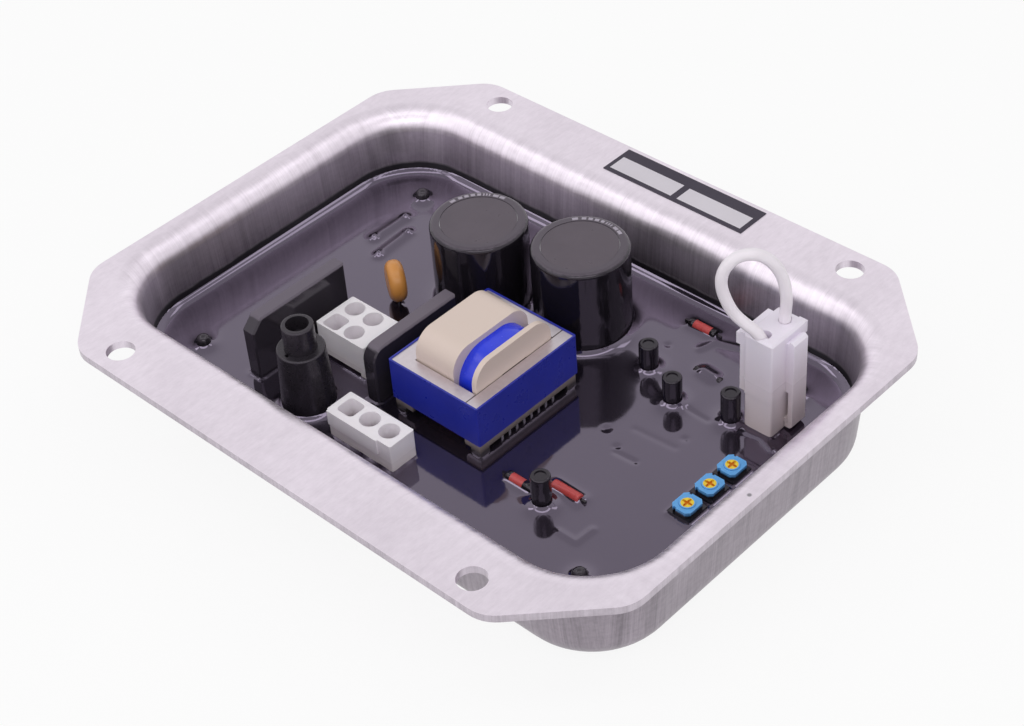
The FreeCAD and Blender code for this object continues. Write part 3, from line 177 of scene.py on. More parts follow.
# Lamps: place and size in metres, power in watts
area_light("overhead_strip", (0.15, -0.15, 1.15), 1.6, 2.1, 0.25)
area_light("camera_strip", (0.80, -0.80, 0.95), 1.4, 3.3, 0.30)
area_light("front", (-0.35, -1.10, 0.80), 0.9, 1.8)
area_light("far_glint", (0.26, 0.69, 1.05), 0.6, 0.55, 0.2)
area_light("left_glint", (-0.72, -0.33, 1.00), 0.6, 0.75, 0.2)
bpy.context.scene.view_settings.view_transform = "Standard"


# Materials

# A noise texture's values lie mostly between these two
NOISE_LOW = 0.3
NOISE_HIGH = 0.7


class Finish:
    """Builds one node material step by step."""

    def __init__(self, name):
        self.material = bpy.data.materials.new(name)
        self.material.use_nodes = True
        self.tree = self.material.node_tree
        self.shader = self.tree.nodes["Principled BSDF"]
        self.position = self.node("ShaderNodeTexCoord").outputs["Object"]

    def node(self, kind, **settings):
        made = self.tree.nodes.new(kind)
        for key, value in settings.items():
            setattr(made, key, value)
        return made

    def link(self, source, target):
        self.tree.links.new(source, target)

    def set(self, **values):
        for key, value in values.items():
            socket = self.shader.inputs[key.replace("_", " ")]
            socket.default_value = (*value, 1) if socket.type == "RGBA" else value

    def axes(self, vector):
        apart = self.node("ShaderNodeSeparateXYZ")
        self.link(vector, apart.inputs[0])
        return [apart.outputs[axis] for axis in "XYZ"]

    def scaled(self, factors):
        mapping = self.node("ShaderNodeMapping")
        mapping.inputs["Scale"].default_value = factors
        self.link(self.position, mapping.inputs["Vector"])
        return mapping.outputs["Vector"]

    def noise(self, size_mm, detail=4.0, roughness=0.6, stretch=(1, 1, 1)):
        texture = self.node("ShaderNodeTexNoise")
        texture.inputs["Scale"].default_value = 1.0
        texture.inputs["Detail"].default_value = detail
        texture.inputs["Roughness"].default_value = roughness
        self.link(self.scaled([1000.0 / size_mm / s for s in stretch]), texture.inputs["Vector"])
        return texture.outputs["Fac"]

    def math(self, operation, *values):
        made = self.node("ShaderNodeMath", operation=operation)
        for socket, value in zip(made.inputs, values):
            if isinstance(value, (int, float)):
                socket.default_value = value
            else:
                self.link(value, socket)
        return made.outputs[0]

    def plus_share(self, value, extra, share):
        """The value with a share of something else added."""
        return self.math("ADD", value, self.math("MULTIPLY", extra, share))

    def ramp(self, source, stops):
        made = self.node("ShaderNodeValToRGB")
        elements = made.color_ramp.elements
        while len(elements) < len(stops):
            elements.new(0.5)
        for element, (place, colour) in zip(elements, stops):
            element.position = place
            element.color = (*colour, 1)
        self.link(source, made.inputs["Fac"])
        return made.outputs["Color"]

    def spread(self, source, low, high, to_low, to_high):
        made = self.node("ShaderNodeMapRange")
        for key, value in (("From Min", low), ("From Max", high), ("To Min", to_low), ("To Max", to_high)):
            made.inputs[key].default_value = value
        self.link(source, made.inputs["Value"])
        return made.outputs["Result"]

    def between(self, source, levels_mm, to_low, to_high):
        """Spread over two lengths given in millimetres."""
        low, high = levels_mm
        return self.spread(source, low * MM, high * MM, to_low, to_high)

    def mix(self, factor, a, b):
        made = self.node("ShaderNodeMix", data_type="RGBA")
        self.link(factor, made.inputs["Factor"])
        sockets = [s for s in made.inputs if s.type == "RGBA"]
        for socket, value in zip(sockets, (a, b)):
            if isinstance(value, tuple):
                socket.default_value = (*value, 1)
            else:
                self.link(value, socket)
        return [s for s in made.outputs if s.type == "RGBA"][0]

    def colour(self, source):
        self.link(source, self.shader.inputs["Base Color"])

    def rough(self, source):
        self.link(source, self.shader.inputs["Roughness"])

    def rough_by_noise(self, noise, low, high):
        self.rough(self.spread(noise, NOISE_LOW, NOISE_HIGH, low, high))

    def bump(self, source, depth_mm):
        made = self.node("ShaderNodeBump")
        made.inputs["Strength"].default_value = 1.0
        made.inputs["Distance"].default_value = depth_mm * MM
        self.link(source, made.inputs["Height"])
        self.link(made.outputs["Normal"], self.shader.inputs["Normal"])


# Tint of the photo's light where plastics shine
SHEEN_TINT = (0.96, 0.87, 1.0)


def moulded(name, base, roughness=0.4, variation=0.06, grain_mm=0.6, depth_mm=0.01, **extra):
    """Moulded plastic: slight mottling of its colour and gloss, and a fine grain."""
    finish = Finish(name)
    dark = tuple(max(0.0, c * (1 - variation)) for c in base)
    light = tuple(min(1.0, c * (1 + variation)) for c in base)
    cloud = finish.noise(9.0, 5.0)
    finish.colour(finish.ramp(cloud, [(NOISE_LOW, dark), (NOISE_HIGH, light)]))
    fine = finish.noise(grain_mm, 3.0)
    finish.rough_by_noise(fine, roughness - 0.06, roughness + 0.08)
    finish.bump(fine, depth_mm)
    finish.set(Specular_Tint=SHEEN_TINT)
    finish.set(**extra)
    return finish.material


# Drawn sheet, in millimetres: where its bends begin from the middle, and how far the streaks of
# two neighbouring sides run into each other
BEND_FROM_X = 68.0
BEND_FROM_Y = 40.0
BEND_OVERLAP = 6.0

# Levels of the black wet band, of the painted shade low on the inner walls and of the painted shade outside
WET_LEVELS = (16.4, 17.2)
WET_WAVE = 1.0
INNER_SHADE_LEVELS = (17.0, 27.5)
OUTSIDE_SHADE_LEVELS = (22.0, 30.0)

# The one dark speck on the near right flange, and the radii where it begins and ends to fade
FLANGE_SPECK_PLACE = (85.7, -10.1, FLANGE_TOP)
FLANGE_SPECK_RADII = (0.35, 0.65)


def sheet_streaks(finish, axis):
    """Fine and coarse lines of the sheet along X, 0, or along Y, 1."""
    fine_way, coarse_way = [60, 60, 60], [25, 25, 25]
    fine_way[axis] = coarse_way[axis] = 1
    fine = finish.noise(0.35, 5.0, 0.7, fine_way)
    coarse = finish.noise(1.8, 3.0, 0.6, coarse_way)
    return finish.plus_share(finish.math("MULTIPLY", fine, 0.55), coarse, 0.45)


def facing_outward(finish, facing):
    """1 where a wall faces away from the middle of the object, 0 where it faces in."""
    level_way = finish.node("ShaderNodeVectorMath", operation="MULTIPLY")
    finish.link(finish.position, level_way.inputs[0])
    level_way.inputs[1].default_value = (1, 1, 0)
    outward = finish.node("ShaderNodeVectorMath", operation="NORMALIZE")
    finish.link(level_way.outputs["Vector"], outward.inputs[0])
    along = finish.node("ShaderNodeVectorMath", operation="DOT_PRODUCT")
    finish.link(outward.outputs["Vector"], along.inputs[0])
    finish.link(facing, along.inputs[1])
    return finish.spread(along.outputs["Value"], 0.15, 0.6, 0.0, 1.0)


def flange_speck(finish):
    """1 in the speck, 0 away from it."""
    away = finish.node("ShaderNodeVectorMath", operation="DISTANCE")
    finish.link(finish.position, away.inputs[0])
    away.inputs[1].default_value = [step * MM for step in FLANGE_SPECK_PLACE]
    return finish.between(away.outputs["Value"], FLANGE_SPECK_RADII, 1.0, 0.0)


def brushed_aluminium():
    """Drawn sheet: smooth flats, streaks across each bend and down each wall, with painted shade on the
    outside and low on the inner walls.
    """
    finish = Finish("drawn_aluminium")
    x, y, z = finish.axes(finish.position)
    facing = finish.node("ShaderNodeTexCoord").outputs["Normal"]
    up = finish.math("ABSOLUTE", finish.axes(facing)[2])
    flat = finish.spread(up, 0.90, 0.995, 0.0, 1.0)
    wall = finish.spread(up, 0.30, 0.75, 1.0, 0.0)
    outside = facing_outward(finish, facing)
    inside = finish.math("SUBTRACT", 1.0, outside)

    # The streaks run across the bend of the side that is nearer
    over_x = finish.math("SUBTRACT", finish.math("ABSOLUTE", x), BEND_FROM_X * MM)
    over_y = finish.math("SUBTRACT", finish.math("ABSOLUTE", y), BEND_FROM_Y * MM)
    nearer = finish.math("SUBTRACT", over_y, over_x)
    streak = finish.node("ShaderNodeMix", data_type="FLOAT")
    finish.link(finish.between(nearer, (-BEND_OVERLAP, BEND_OVERLAP), 0.0, 1.0), streak.inputs["Factor"])
    finish.link(sheet_streaks(finish, 1), streak.inputs["A"])
    finish.link(sheet_streaks(finish, 0), streak.inputs["B"])
    streak = streak.outputs["Result"]

    cloud = finish.noise(22.0, 5.0)
    fleck = finish.noise(1.2, 4.0, 0.7, (1, 2.5, 1))
    streak_share = finish.spread(flat, 0.0, 1.0, 0.90, 0.20)
    level = finish.math("MULTIPLY", finish.math("SUBTRACT", streak, 0.5), streak_share)
    level = finish.plus_share(level, finish.math("SUBTRACT", fleck, 0.5), 0.25)
    level = finish.plus_share(level, cloud, 0.25)
    level = finish.math("ADD", level, 0.08)
    base = finish.ramp(level, [(0.05, (0.68, 0.61, 0.685)), (0.35, (0.91, 0.83, 0.92))])
    # Painted shade: the darker tone laid on the outer walls and low on the inner walls
    painted_shade_tone = finish.ramp(level, [(0.05, (0.10, 0.085, 0.10)), (0.35, (0.28, 0.24, 0.28))])

    # Painted shade on the outer walls, stronger lower down
    outside_shade = finish.math("MULTIPLY", outside, finish.between(z, OUTSIDE_SHADE_LEVELS, 0.80, 0.42))
    base = finish.mix(outside_shade, base, painted_shade_tone)
    # Painted shade on the inner walls, darker towards the bottom
    inner_wall_shade = finish.math("MULTIPLY", wall, finish.between(z, INNER_SHADE_LEVELS, 0.80, 0.0))
    base = finish.mix(finish.math("MULTIPLY", inner_wall_shade, inside), base, painted_shade_tone)
    edge = finish.plus_share(z, finish.noise(6.0, 4.0), WET_WAVE * MM)
    wet = finish.math("MULTIPLY", finish.between(edge, WET_LEVELS, 1.0, 0.0), inside)
    base = finish.mix(wet, base, (0.012, 0.010, 0.014))
    finish.colour(finish.mix(flange_speck(finish), base, (0.30, 0.28, 0.31)))
    finish.link(finish.spread(wet, 0.0, 1.0, 0.85, 0.0), finish.shader.inputs["Metallic"])

    finish.rough_by_noise(streak, 0.32, 0.46)
    relief = finish.math("MULTIPLY", streak, finish.spread(flat, 0.0, 1.0, 0.8, 0.25))
    finish.bump(finish.plus_share(relief, finish.noise(0.25, 3.0), 0.2), 0.03)
    return finish.material


def glossy_compound(name):
    """Poured compound: nearly black and mirror-like, with a soft unevenness."""
    finish = Finish(name)
    cloud = finish.noise(30.0, 4.0)
    finish.colour(finish.ramp(cloud, [(0.35, (0.010, 0.008, 0.012)), (0.7, (0.016, 0.012, 0.018))]))
    soft = finish.noise(6.0, 3.0)
    finish.rough_by_noise(soft, 0.05, 0.09)
    finish.bump(soft, 0.010)
    finish.set(IOR=1.76, Specular_IOR_Level=1.0, Specular_Tint=(0.87, 0.74, 1.0))
    return finish.material


TONE_LEVEL_WAVE = 0.6


def two_tone_by_height(name, low, high, levels_mm, roughness=0.35, depth_mm=0.01, **extra):
    """Moulded part that goes from one colour to another between two levels. On the capacitor lips and the
    package tops the upper, lighter colour is a painted sheen.
    """
    finish = Finish(name)
    z = finish.axes(finish.position)[2]
    mottle = finish.noise(1.5, 4.0)
    level = finish.plus_share(z, finish.math("SUBTRACT", mottle, 0.5), TONE_LEVEL_WAVE * MM)
    height = finish.between(level, levels_mm, 0.0, 1.0)
    finish.colour(finish.ramp(height, [(0.0, low), (1.0, high)]))
    finish.rough(finish.spread(height, 0.0, 1.0, 0.10, roughness))
    finish.bump(mottle, depth_mm)
    finish.set(Specular_Tint=SHEEN_TINT)
    finish.set(**extra)
    return finish.material


def tinned(name, base):
    """Plain plated metal."""
    finish = Finish(name)
    cloud = finish.noise(1.2, 4.0)
    light = tuple(min(1.0, c * 1.1) for c in base)
    finish.colour(finish.ramp(cloud, [(0.35, base), (0.7, light)]))
    finish.rough_by_noise(cloud, 0.25, 0.42)
    finish.bump(cloud, 0.01)
    finish.set(Metallic=1.0)
    return finish.material


# Half widths of the core's seam, where it begins and ends to fade, and its place along X
SEAM_WIDTHS = (0.08, 0.22)
SEAM_X = 16.2


def core_steel():
    """Plated stack with the dark seam between the E core and the I core."""
    finish = Finish("core_steel")
    x = finish.axes(finish.position)[0]
    cloud = finish.noise(1.2, 4.0)
    base = finish.ramp(cloud, [(0.35, (0.62, 0.56, 0.60)), (0.7, (0.68, 0.62, 0.66))])
    away = finish.math("ABSOLUTE", finish.math("SUBTRACT", x, SEAM_X * MM))
    seam = finish.between(away, SEAM_WIDTHS, 1.0, 0.0)
    finish.colour(finish.mix(seam, base, (0.05, 0.035, 0.035)))
    finish.rough_by_noise(cloud, 0.28, 0.42)
    finish.bump(cloud, 0.008)
    finish.set(Metallic=0.8)
    return finish.material


# The three dials stand in a row along Y. The blue ring begins at the yellow's radius. The painted shade
# of the cross slot fades over the two half widths of its arm and the two half lengths, in millimetres.
DIAL_X = 67.0
DIAL_MIDDLE_Y = -0.1
DIAL_PITCH = 7.9
YELLOW_RADII = (1.5, 1.55)
CROSS_HALF_WIDTHS = (0.32, 0.42)
CROSS_HALF_LENGTHS = (1.00, 1.10)
CASE_BLUE = (0.12, 0.40, 0.80)


def dial():
    """Yellow dial in a blue ring, with painted shade in its cross slot, in orange."""
    finish = Finish("trimmer_yellow")
    x, y, _ = finish.axes(finish.position)
    x = finish.math("ABSOLUTE", finish.math("SUBTRACT", x, DIAL_X * MM))
    y = finish.math("SUBTRACT", y, DIAL_MIDDLE_Y * MM)
    y = finish.math("ABSOLUTE", finish.math("WRAP", y, DIAL_PITCH / 2 * MM, -DIAL_PITCH / 2 * MM))
    squares = finish.math("ADD", finish.math("MULTIPLY", x, x), finish.math("MULTIPLY", y, y))
    ring = finish.between(finish.math("SQRT", squares), YELLOW_RADII, 0.0, 1.0)
    arm = finish.between(finish.math("MINIMUM", x, y), CROSS_HALF_WIDTHS, 1.0, 0.0)
    end = finish.between(finish.math("MAXIMUM", x, y), CROSS_HALF_LENGTHS, 1.0, 0.0)
    mottle = finish.noise(0.8, 3.0)
    yellow = finish.ramp(mottle, [(0.3, (0.86, 0.60, 0.03)), (0.7, (0.93, 0.70, 0.04))])
    # Painted shade in the cross slot, in darker orange
    slot_shade = finish.mix(finish.math("MULTIPLY", arm, end), yellow, (0.75, 0.26, 0.01))
    finish.colour(finish.mix(ring, slot_shade, CASE_BLUE))
    finish.rough_by_noise(mottle, 0.30, 0.42)
    finish.bump(mottle, 0.01)
    return finish.material


# Levels between which the varistor's coating goes from black compound at its foot, through painted shade, to
# its own orange, and how they waver
FOOT_AND_SHADE_LEVELS = (15.0, 20.5)
FOOT_AND_SHADE_WAVE = 2.5


def orange_coating():
    """Dipped coating: black where the compound has crept up its foot, with painted shade above that, darker
    towards the bottom.
    """
    finish = Finish("varistor_coating")
    z = finish.axes(finish.position)[2]
    mottle = finish.noise(2.5, 4.0)
    height = finish.between(finish.plus_share(z, mottle, FOOT_AND_SHADE_WAVE * MM), FOOT_AND_SHADE_LEVELS, 0.0, 1.0)
    # Black compound at the foot, then painted shade, then the coating's own orange
    stops = [(0.0, (0.02, 0.012, 0.01)), (0.35, (0.30, 0.12, 0.02)), (0.9, (0.68, 0.29, 0.07))]
    finish.colour(finish.ramp(height, stops))
    finish.rough_by_noise(mottle, 0.25, 0.4)
    finish.bump(mottle, 0.05)
    return finish.material


MILKY = {"Subsurface_Weight": 0.25, "Subsurface_Scale": 0.0012, "Subsurface_Radius": (1.0, 0.95, 1.0)}
PACKAGE_SIDE = (0.034, 0.029, 0.038)
MATERIALS = {
    "tray": brushed_aluminium(),
    "potting": glossy_compound("potting_compound"),
    "board": moulded("board_green", (0.02, 0.09, 0.03), 0.5),
    "post": moulded("post_nylon", (0.030, 0.026, 0.032), 0.12, 0.1, 1.5, 0.01),
    "label": moulded(
        "label_black", (0.058, 0.050, 0.070), 0.5, 0.1, 0.4, 0.004, Specular_IOR_Level=0.2,
    ),
    # The lighter colour of the sleeve's lip at the top is a painted sheen
    "sleeve": two_tone_by_height(
        "black_sleeve", (0.012, 0.010, 0.014), (0.080, 0.066, 0.084), (36.8, 37.2), 0.35, 0.03,
    ),
    "capacitor_can": tinned("can_aluminium", (0.6, 0.6, 0.62)),
    "end_disc": moulded("grey_disc", (0.085, 0.068, 0.085), 0.33, 0.08, 2.0, 0.02),
    "seal": moulded("rubber_seal", (0.01, 0.01, 0.01), 0.7),
    "lead": tinned("tinned_lead", (0.5, 0.5, 0.5)),
    "core": core_steel(),
    "blue_tape": moulded("blue_tape", (0.014, 0.026, 0.36), 0.3, 0.08, 4.0, 0.01),
    "cream_moulding": two_tone_by_height(
        "cream_moulding", (0.035, 0.030, 0.030), (0.75, 0.62, 0.55), (14.0, 19.5), 0.45,
    ),
    "copper_winding": moulded("copper_winding", (0.5, 0.2, 0.08), 0.3),
    "blue_winding": moulded("blue_winding", (0.02, 0.05, 0.80), 0.2, 0.10, 4.0, 0.02),
    "black_moulding": moulded("black_moulding", (0.020, 0.017, 0.022), 0.30, 0.15, 0.7, 0.02),
    "fuse_glass": moulded("fuse_glass", (0.8, 0.85, 0.85), 0.1),
    "fuse_end": tinned("fuse_end", (0.7, 0.7, 0.7)),
    # The packages' lighter top colour is a painted sheen on their top faces
    "package_black": two_tone_by_height(
        "package_black", PACKAGE_SIDE, (0.130, 0.110, 0.140), (29.2, 29.7), 0.5, 0.02,
    ),
    "package_grey": two_tone_by_height(
        "package_grey", PACKAGE_SIDE, (0.140, 0.118, 0.148), (27.7, 28.2), 0.5, 0.02,
    ),
    "white_moulding": two_tone_by_height(
        "white_moulding", (0.86, 0.78, 0.77), (0.95, 0.90, 0.95), (12.5, 18.0), 0.4, 0.01, **MILKY,
    ),
    "pin": tinned("contact_pin", (0.6, 0.58, 0.56)),
    "plug_nylon": two_tone_by_height(
        "plug_nylon", (0.70, 0.60, 0.59), (0.90, 0.84, 0.95), (12.0, 38.0), 0.4, 0.01, **MILKY,
    ),
    "white_wire": moulded("white_wire", (0.95, 0.89, 0.95), 0.4, 0.03, 3.0, 0.01),
    "varistor": orange_coating(),
    "coated_part": moulded("coated_part", (0.012, 0.010, 0.012), 0.08, 0.2, 1.5, 0.03),
    "red_part": moulded("red_part", (0.56, 0.075, 0.070), 0.3, 0.10, 1.2, 0.01),
    "trimmer_case": two_tone_by_height("trimmer_blue", (0.012, 0.012, 0.016), CASE_BLUE, (14.3, 14.9)),
    "trimmer_rotor": dial(),
}

# Each node takes its slot's material, apart from these
SLOT_OF = {s["node"]: s["material_slot"] for s in frame["record"]["subparts"]}
OWN_FINISH = {
    "axial_leads": "coated_part",
    "radial_leads": "coated_part",
    "jumper_plug_housing": "plug_nylon",
    "jumper_header_housing": "plug_nylon",
}
for node_name, node in NODES.items():
    material = MATERIALS[OWN_FINISH.get(node_name, SLOT_OF[node_name])]
    if node.data.materials:
        for number in range(len(node.data.materials)):
            node.material_slots[number].material = material
    else:
        node.data.materials.append(material)


# Meshes of the pieces that the scene adds

def mesh_piece(name, points, faces, material, smooth=True):
    """A piece from points in millimetres, carried by the root body."""
    mesh = bpy.data.meshes.new(name)
    corners = [tuple(float(c) * MM for c in p) for p in points]
    mesh.from_pydata(corners, [], [tuple(f) for f in faces])
    mesh.polygons.foreach_set("use_smooth", [smooth] * len(mesh.polygons))
    mesh.materials.append(material)
    piece = bpy.data.objects.new(name, mesh)
    bpy.context.scene.collection.objects.link(piece)
    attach(piece, "root")
    return piece


# Surface of the compound: it climbs every wall and component that it touches

SKIN_STEP = 0.5
SKIN_LIFT = 0.3
POOL_HALF_X = 78.38
POOL_HALF_Y = 50.38
POOL_CORNER = 18.38
SKIN_INTO_WALL = 1.2
SKIN_INTO_PART = 0.9
WALL_CLIMB = 1.5
PART_CLIMB = 1.2
CLIMB_REACH = 1.15
CLIMB_BLEND = 3
UNTOUCHED = ("tray", "potting", "circuit_board", "label", "coated_resistors", "axial_leads")

# The climb is full from this far inside a wall or part, and is worked out within this far of a part
CLIMB_TOP = -0.2
CLIMB_SEARCH = 6

# A narrow part draws up less: the least share, and the width that adds a whole share
LEAST_SHARE = 0.3
WIDTH_PER_SHARE = 5.0

# Marks on the surface, their places measured on the photo: points, height and radius, in millimetres
SURFACE_MARKS = (
    (((35.4, 1.1),), -0.28, 0.8),
    (((41.2, -2.1),), -0.28, 0.8),
    (((42.1, -3.7), (47.8, -3.3)), -0.26, 0.6),
    (((40.6, 5.1), (51.9, 6.0)), -0.10, 0.8),
    (((51.7, 9.8),), -0.20, 0.8),
    (((49.2, -30.9), (54.3, -30.9), (54.6, -25.7)), 0.28, 0.8),
    (((45.6, 18.1), (52.0, 17.9)), -0.25, 0.6),
    (((27.3, 33.1),), -0.28, 0.7),
    (((34.3, 36.8), (35.7, 41.2), (41.6, 43.1)), 0.35, 0.9),
    (((60.9, 20.3), (65.4, 20.9), (69.6, 19.2)), 0.5, 0.8),
    (((-60.0, 18.3), (-59.9, 29.8)), 0.58, 1.5),
    (((-53.9, 14.0), (-54.6, 25.5)), 0.58, 1.5),
    (((-60.0, 18.3),), 0.8, 0.9),
    (((-59.9, 29.8),), 0.8, 0.9),
    (((-53.9, 14.0),), 0.8, 0.9),
    (((-54.6, 25.5),), 0.8, 0.9),
    (((40.2, 30.9), (43.2, 30.6)), 1.0, 1.6),
)


def islands_at_level(node, level):
    """Outline points, in millimetres, of each separate solid of a node where it passes the level."""
    mesh, place = node.data, node.matrix_world
    corners = np.array([place @ v.co for v in mesh.vertices]) / MM
    edges = np.empty(len(mesh.edges) * 2, dtype=np.int64)
    mesh.edges.foreach_get("vertices", edges)
    edges = edges.reshape(-1, 2)
    owner = np.arange(len(corners))
    while True:
        low = np.minimum(owner[edges[:, 0]], owner[edges[:, 1]])
        before = owner.copy()
        np.minimum.at(owner, edges[:, 0], low)
        np.minimum.at(owner, edges[:, 1], low)
        owner = owner[owner]
        if np.array_equal(before, owner):
            break
    start, end = corners[edges[:, 0]], corners[edges[:, 1]]
    crossing = (start[:, 2] - level) * (end[:, 2] - level) < 0
    start, end = start[crossing], end[crossing]
    share = (level - start[:, 2]) / (end[:, 2] - start[:, 2])
    points = start[:, :2] + (end[:, :2] - start[:, :2]) * share[:, None]
    owners = owner[edges[crossing, 0]]
    return [points[owners == number] for number in np.unique(owners)]


def convex_outline(points):
    """Corners of the convex hull, anticlockwise."""
    ordered = sorted({(round(float(x), 3), round(float(y), 3)) for x, y in points})
    halves = []
    for run in (ordered, ordered[::-1]):
        chain = []
        for p in run:
            while len(chain) > 1:
                (ax, ay), (bx, by) = chain[-2], chain[-1]
                if (bx - ax) * (p[1] - ay) - (by - ay) * (p[0] - ax) > 0:
                    break
                chain.pop()
            chain.append(p)
        halves.append(chain[:-1])
    return np.array(halves[0] + halves[1])


def distance_to_outline(x, y, outline):
    """Distance outside a convex outline; negative inside it."""
    best = np.full(x.shape, np.inf)
    inside = np.full(x.shape, -np.inf)
    for (ax, ay), (bx, by) in zip(outline, np.roll(outline, -1, axis=0)):
        ex, ey = bx - ax, by - ay
        size = math.hypot(ex, ey)
        along = np.clip(((x - ax) * ex + (y - ay) * ey) / size ** 2, 0, 1)
        best = np.minimum(best, np.hypot(x - ax - along * ex, y - ay - along * ey))
        inside = np.maximum(inside, ((x - ax) * ey - (y - ay) * ex) / size)
    return np.where(inside < 0, inside, best)


def distance_to_line(x, y, points):
    """Distance to a run of points, or to the one point."""
    if len(points) == 1:
        return np.hypot(x - points[0][0], y - points[0][1])
    best = np.full(x.shape, np.inf)
    for (ax, ay), (bx, by) in zip(points, points[1:]):
        ex, ey = bx - ax, by - ay
        along = np.clip(((x - ax) * ex + (y - ay) * ey) / (ex ** 2 + ey ** 2), 0, 1)
        best = np.minimum(best, np.hypot(x - ax - along * ex, y - ay - along * ey))
    return best


def distance_to_wall(x, y):
    """Distance inward from the tray's wall at the compound's level."""
    qx = np.abs(x) - (POOL_HALF_X - POOL_CORNER)
    qy = np.abs(y) - (POOL_HALF_Y - POOL_CORNER)
    outside = np.hypot(np.maximum(qx, 0), np.maximum(qy, 0))
    return POOL_CORNER - outside - np.minimum(np.maximum(qx, qy), 0)


def touched_outlines():
    """Outline of each solid that passes through the compound's level."""
    outlines = []
    for name, node in NODES.items():
        if name in UNTOUCHED:
            continue
        for points in islands_at_level(node, POTTING_LEVEL):
            if len(points) > 2:
                outlines.append(convex_outline(points))
    return outlines


def skin_line(half):
    """Places of the skin's grid along one axis, centred on the middle of the tray."""
    count = int(2 * (half + SKIN_INTO_WALL) / SKIN_STEP) + 1
    return (np.arange(count) - (count - 1) / 2) * SKIN_STEP


def climb_and_buried(x, y, wall):
    """Height that the compound climbs at each point, and whether a part covers the point."""
    climb = WALL_CLIMB * np.exp(-np.maximum(wall, CLIMB_TOP) / CLIMB_REACH)
    buried = np.zeros(x.shape, bool)
    for outline in touched_outlines():
        least, most = outline.min(axis=0), outline.max(axis=0)
        share = min(1.0, LEAST_SHARE + np.min(most - least) / WIDTH_PER_SHARE)
        low, high = least - CLIMB_SEARCH, most + CLIMB_SEARCH
        near = (x > low[0]) & (x < high[0]) & (y > low[1]) & (y < high[1])
        away = distance_to_outline(x[near], y[near], outline)
        rise = PART_CLIMB * share * np.exp(-np.maximum(away, CLIMB_TOP) / (CLIMB_REACH * share))
        climb[near] = (climb[near] ** CLIMB_BLEND + rise ** CLIMB_BLEND) ** (1 / CLIMB_BLEND)
        buried[near] |= away < -SKIN_INTO_PART
    for points, height, radius in SURFACE_MARKS:
        climb += height * np.exp(-(distance_to_line(x, y, points) / radius) ** 2)
    return climb, buried


def compound_surface():
    x, y = np.meshgrid(skin_line(POOL_HALF_X), skin_line(POOL_HALF_Y), indexing="ij")
    wall = distance_to_wall(x, y)
    climb, buried = climb_and_buried(x, y, wall)
    z = POTTING_LEVEL + SKIN_LIFT + climb
    index = np.arange(x.size).reshape(x.shape)
    in_pool = wall > -SKIN_INTO_WALL
    corner = [np.s_[:-1, :-1], np.s_[1:, :-1], np.s_[1:, 1:], np.s_[:-1, 1:]]
    whole = np.all([in_pool[c] for c in corner], axis=0)
    kept = whole & ~np.all([buried[c] for c in corner], axis=0)
    faces = np.stack([index[c][kept] for c in corner], axis=1)
    used, faces = np.unique(faces, return_inverse=True)
    points = np.stack([x.ravel(), y.ravel(), z.ravel()], axis=1)[used]
    piece = mesh_piece("potting_surface", points, faces.reshape(-1, 4), MATERIALS["potting"])


compound_surface()


# Film of compound over the ends of two red resistors: first and last x, y, z, radius

FILMS = (
    (26.45, 28.1, 42.8, 13.3, 1.28),
    (33.0, 34.55, 42.8, 13.3, 1.28),
    (28.55, 30.0, -25.2, 13.3, 1.28),
    (33.6, 36.65, -25.2, 13.3, 1.28),
)
FILM_SIDES = 24

# Profile of a film: share of its half length, share of its radius
FILM_PROFILE = ((-1.0, 0.0), (-0.98, 0.9), (-0.85, 1.0), (0.85, 1.0), (0.98, 0.9), (1.0, 0.0))


def film_over_ends():
    points, faces = [], []
    for x0, x1, y, z, radius in FILMS:
        first = len(points)
        middle, half = (x0 + x1) / 2, (x1 - x0) / 2
        for share, out in FILM_PROFILE:
            reach = radius * out
            for side in range(FILM_SIDES):
                angle = 2 * math.pi * side / FILM_SIDES
                x = middle + share * half
                points.append((x, y + reach * math.cos(angle), z + reach * math.sin(angle)))
        for ring in range(len(FILM_PROFILE) - 1):
            here = first + ring * FILM_SIDES
            beyond = here + FILM_SIDES
            for side in range(FILM_SIDES):
                following = (side + 1) % FILM_SIDES
                faces.append((here + side, beyond + side, beyond + following, here + following))
    piece = mesh_piece("compound_film", points, faces, MATERIALS["coated_part"])


film_over_ends()


# Bare label: two white fields on the dark ground, each as first and last x, first and last y

LABEL_TOP = 31.15
PRINT_LIFT = 0.01
LABEL_FIELDS = ((-15.0, 5.0, 61.3, 66.8), (6.9, 26.9, 61.3, 66.6))


def label_fields():
    z = LABEL_TOP + PRINT_LIFT
    points, faces = [], []
    for x0, x1, y0, y1 in LABEL_FIELDS:
        first = len(points)
        points += [(x0, y0, z), (x1, y0, z), (x1, y1, z), (x0, y1, z)]
        faces.append(range(first, first + 4))
    white = moulded("label_white", (0.70, 0.66, 0.72), 0.5, 0.03)
    mesh_piece("label_fields", points, faces, white, False)


label_fields()


# Pale print on the rolled lip of each large capacitor, as plain bars

CAPACITOR_PLACES = ((-20.0, 18.4), (6.0, 26.4))
CAPACITOR_TOP = 37.3
BAR_INNER = 10.0
BAR_OUTER = 10.9
PRINT_STARTS_DEG = (95.0, 62.0)
BAR_STEPS_DEG = (
    (0, 8), (10, 18), (22, 24), (26, 28), (30, 32), (35, 40), (43, 49), (52, 58), (61, 67), (72, 80),
)


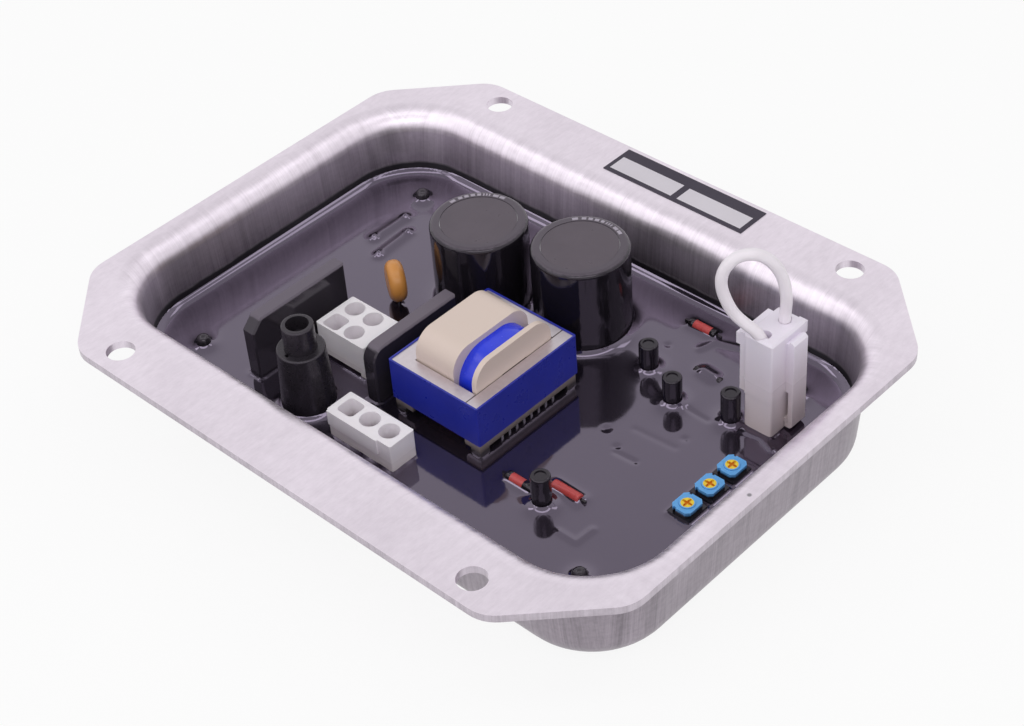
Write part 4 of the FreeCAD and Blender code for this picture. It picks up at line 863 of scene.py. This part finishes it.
def rim_bars():
    points, faces = [], []
    z = CAPACITOR_TOP + PRINT_LIFT
    for (cx, cy), print_start in zip(CAPACITOR_PLACES, PRINT_STARTS_DEG):
        for start, end in BAR_STEPS_DEG:
            first = len(points)
            for deg in (start, (start + end) / 2, end):
                angle = math.radians(print_start + deg)
                for radius in (BAR_INNER, BAR_OUTER):
                    points.append((cx + radius * math.cos(angle), cy + radius * math.sin(angle), z))
            faces += [(first, first + 1, first + 3, first + 2), (first + 2, first + 3, first + 5, first + 4)]
    pale = moulded("pale_print", (0.42, 0.38, 0.45), 0.5, 0.1)
    mesh_piece("capacitor_rim_bars", points, faces, pale, False)


rim_bars()


# Jumper wire: its ends are where its solid's are, and its loop departs from the solid's by up to
# 2 mm. The route is measured from the middle of the plug's top.

PLUG_TOP_PLACE = (63.0, 28.2, 40.5)
WIRE_DIAMETER = 2.8
WIRE_WAY = 3.7
WIRE_LOOP = (
    (0, WIRE_WAY, -11.5),
    (0, WIRE_WAY, -5.5),
    (0.3, 2.9, 1.1),
    (1.5, 2.0, 7.5),
    (0.8, 1.3, 13.8),
    (-1.0, -0.9, 18.9),
    (-3.4, -3.6, 21.2),
    (-6.0, -6.5, 20.9),
    (-7.8, -8.7, 18.2),
    (-8.4, -9.4, 13.8),
    (-7.2, -8.4, 8.3),
    (-5.6, -6.9, 4.1),
    (-0.3, -4.6, 0.2),
    (0, -WIRE_WAY, -5.5),
    (0, -WIRE_WAY, -11.5),
)


def jumper_wire():
    curve = bpy.data.curves.new("jumper_wire_loop", "CURVE")
    curve.dimensions = "3D"
    curve.bevel_depth = WIRE_DIAMETER / 2 * MM
    curve.bevel_resolution = 6
    curve.resolution_u = 10
    spline = curve.splines.new("NURBS")
    spline.points.add(len(WIRE_LOOP) - 1)
    route = [Vector(PLUG_TOP_PLACE) + Vector(step) for step in WIRE_LOOP]
    for point, place in zip(spline.points, route):
        point.co = (*(place * MM), 1)
    spline.order_u = 3
    spline.use_endpoint_u = True
    curve.materials.append(MATERIALS["white_wire"])
    wire = bpy.data.objects.new("jumper_wire_loop", curve)
    bpy.context.scene.collection.objects.link(wire)
    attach(wire, "root")
    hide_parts("jumper_wire")


jumper_wire()
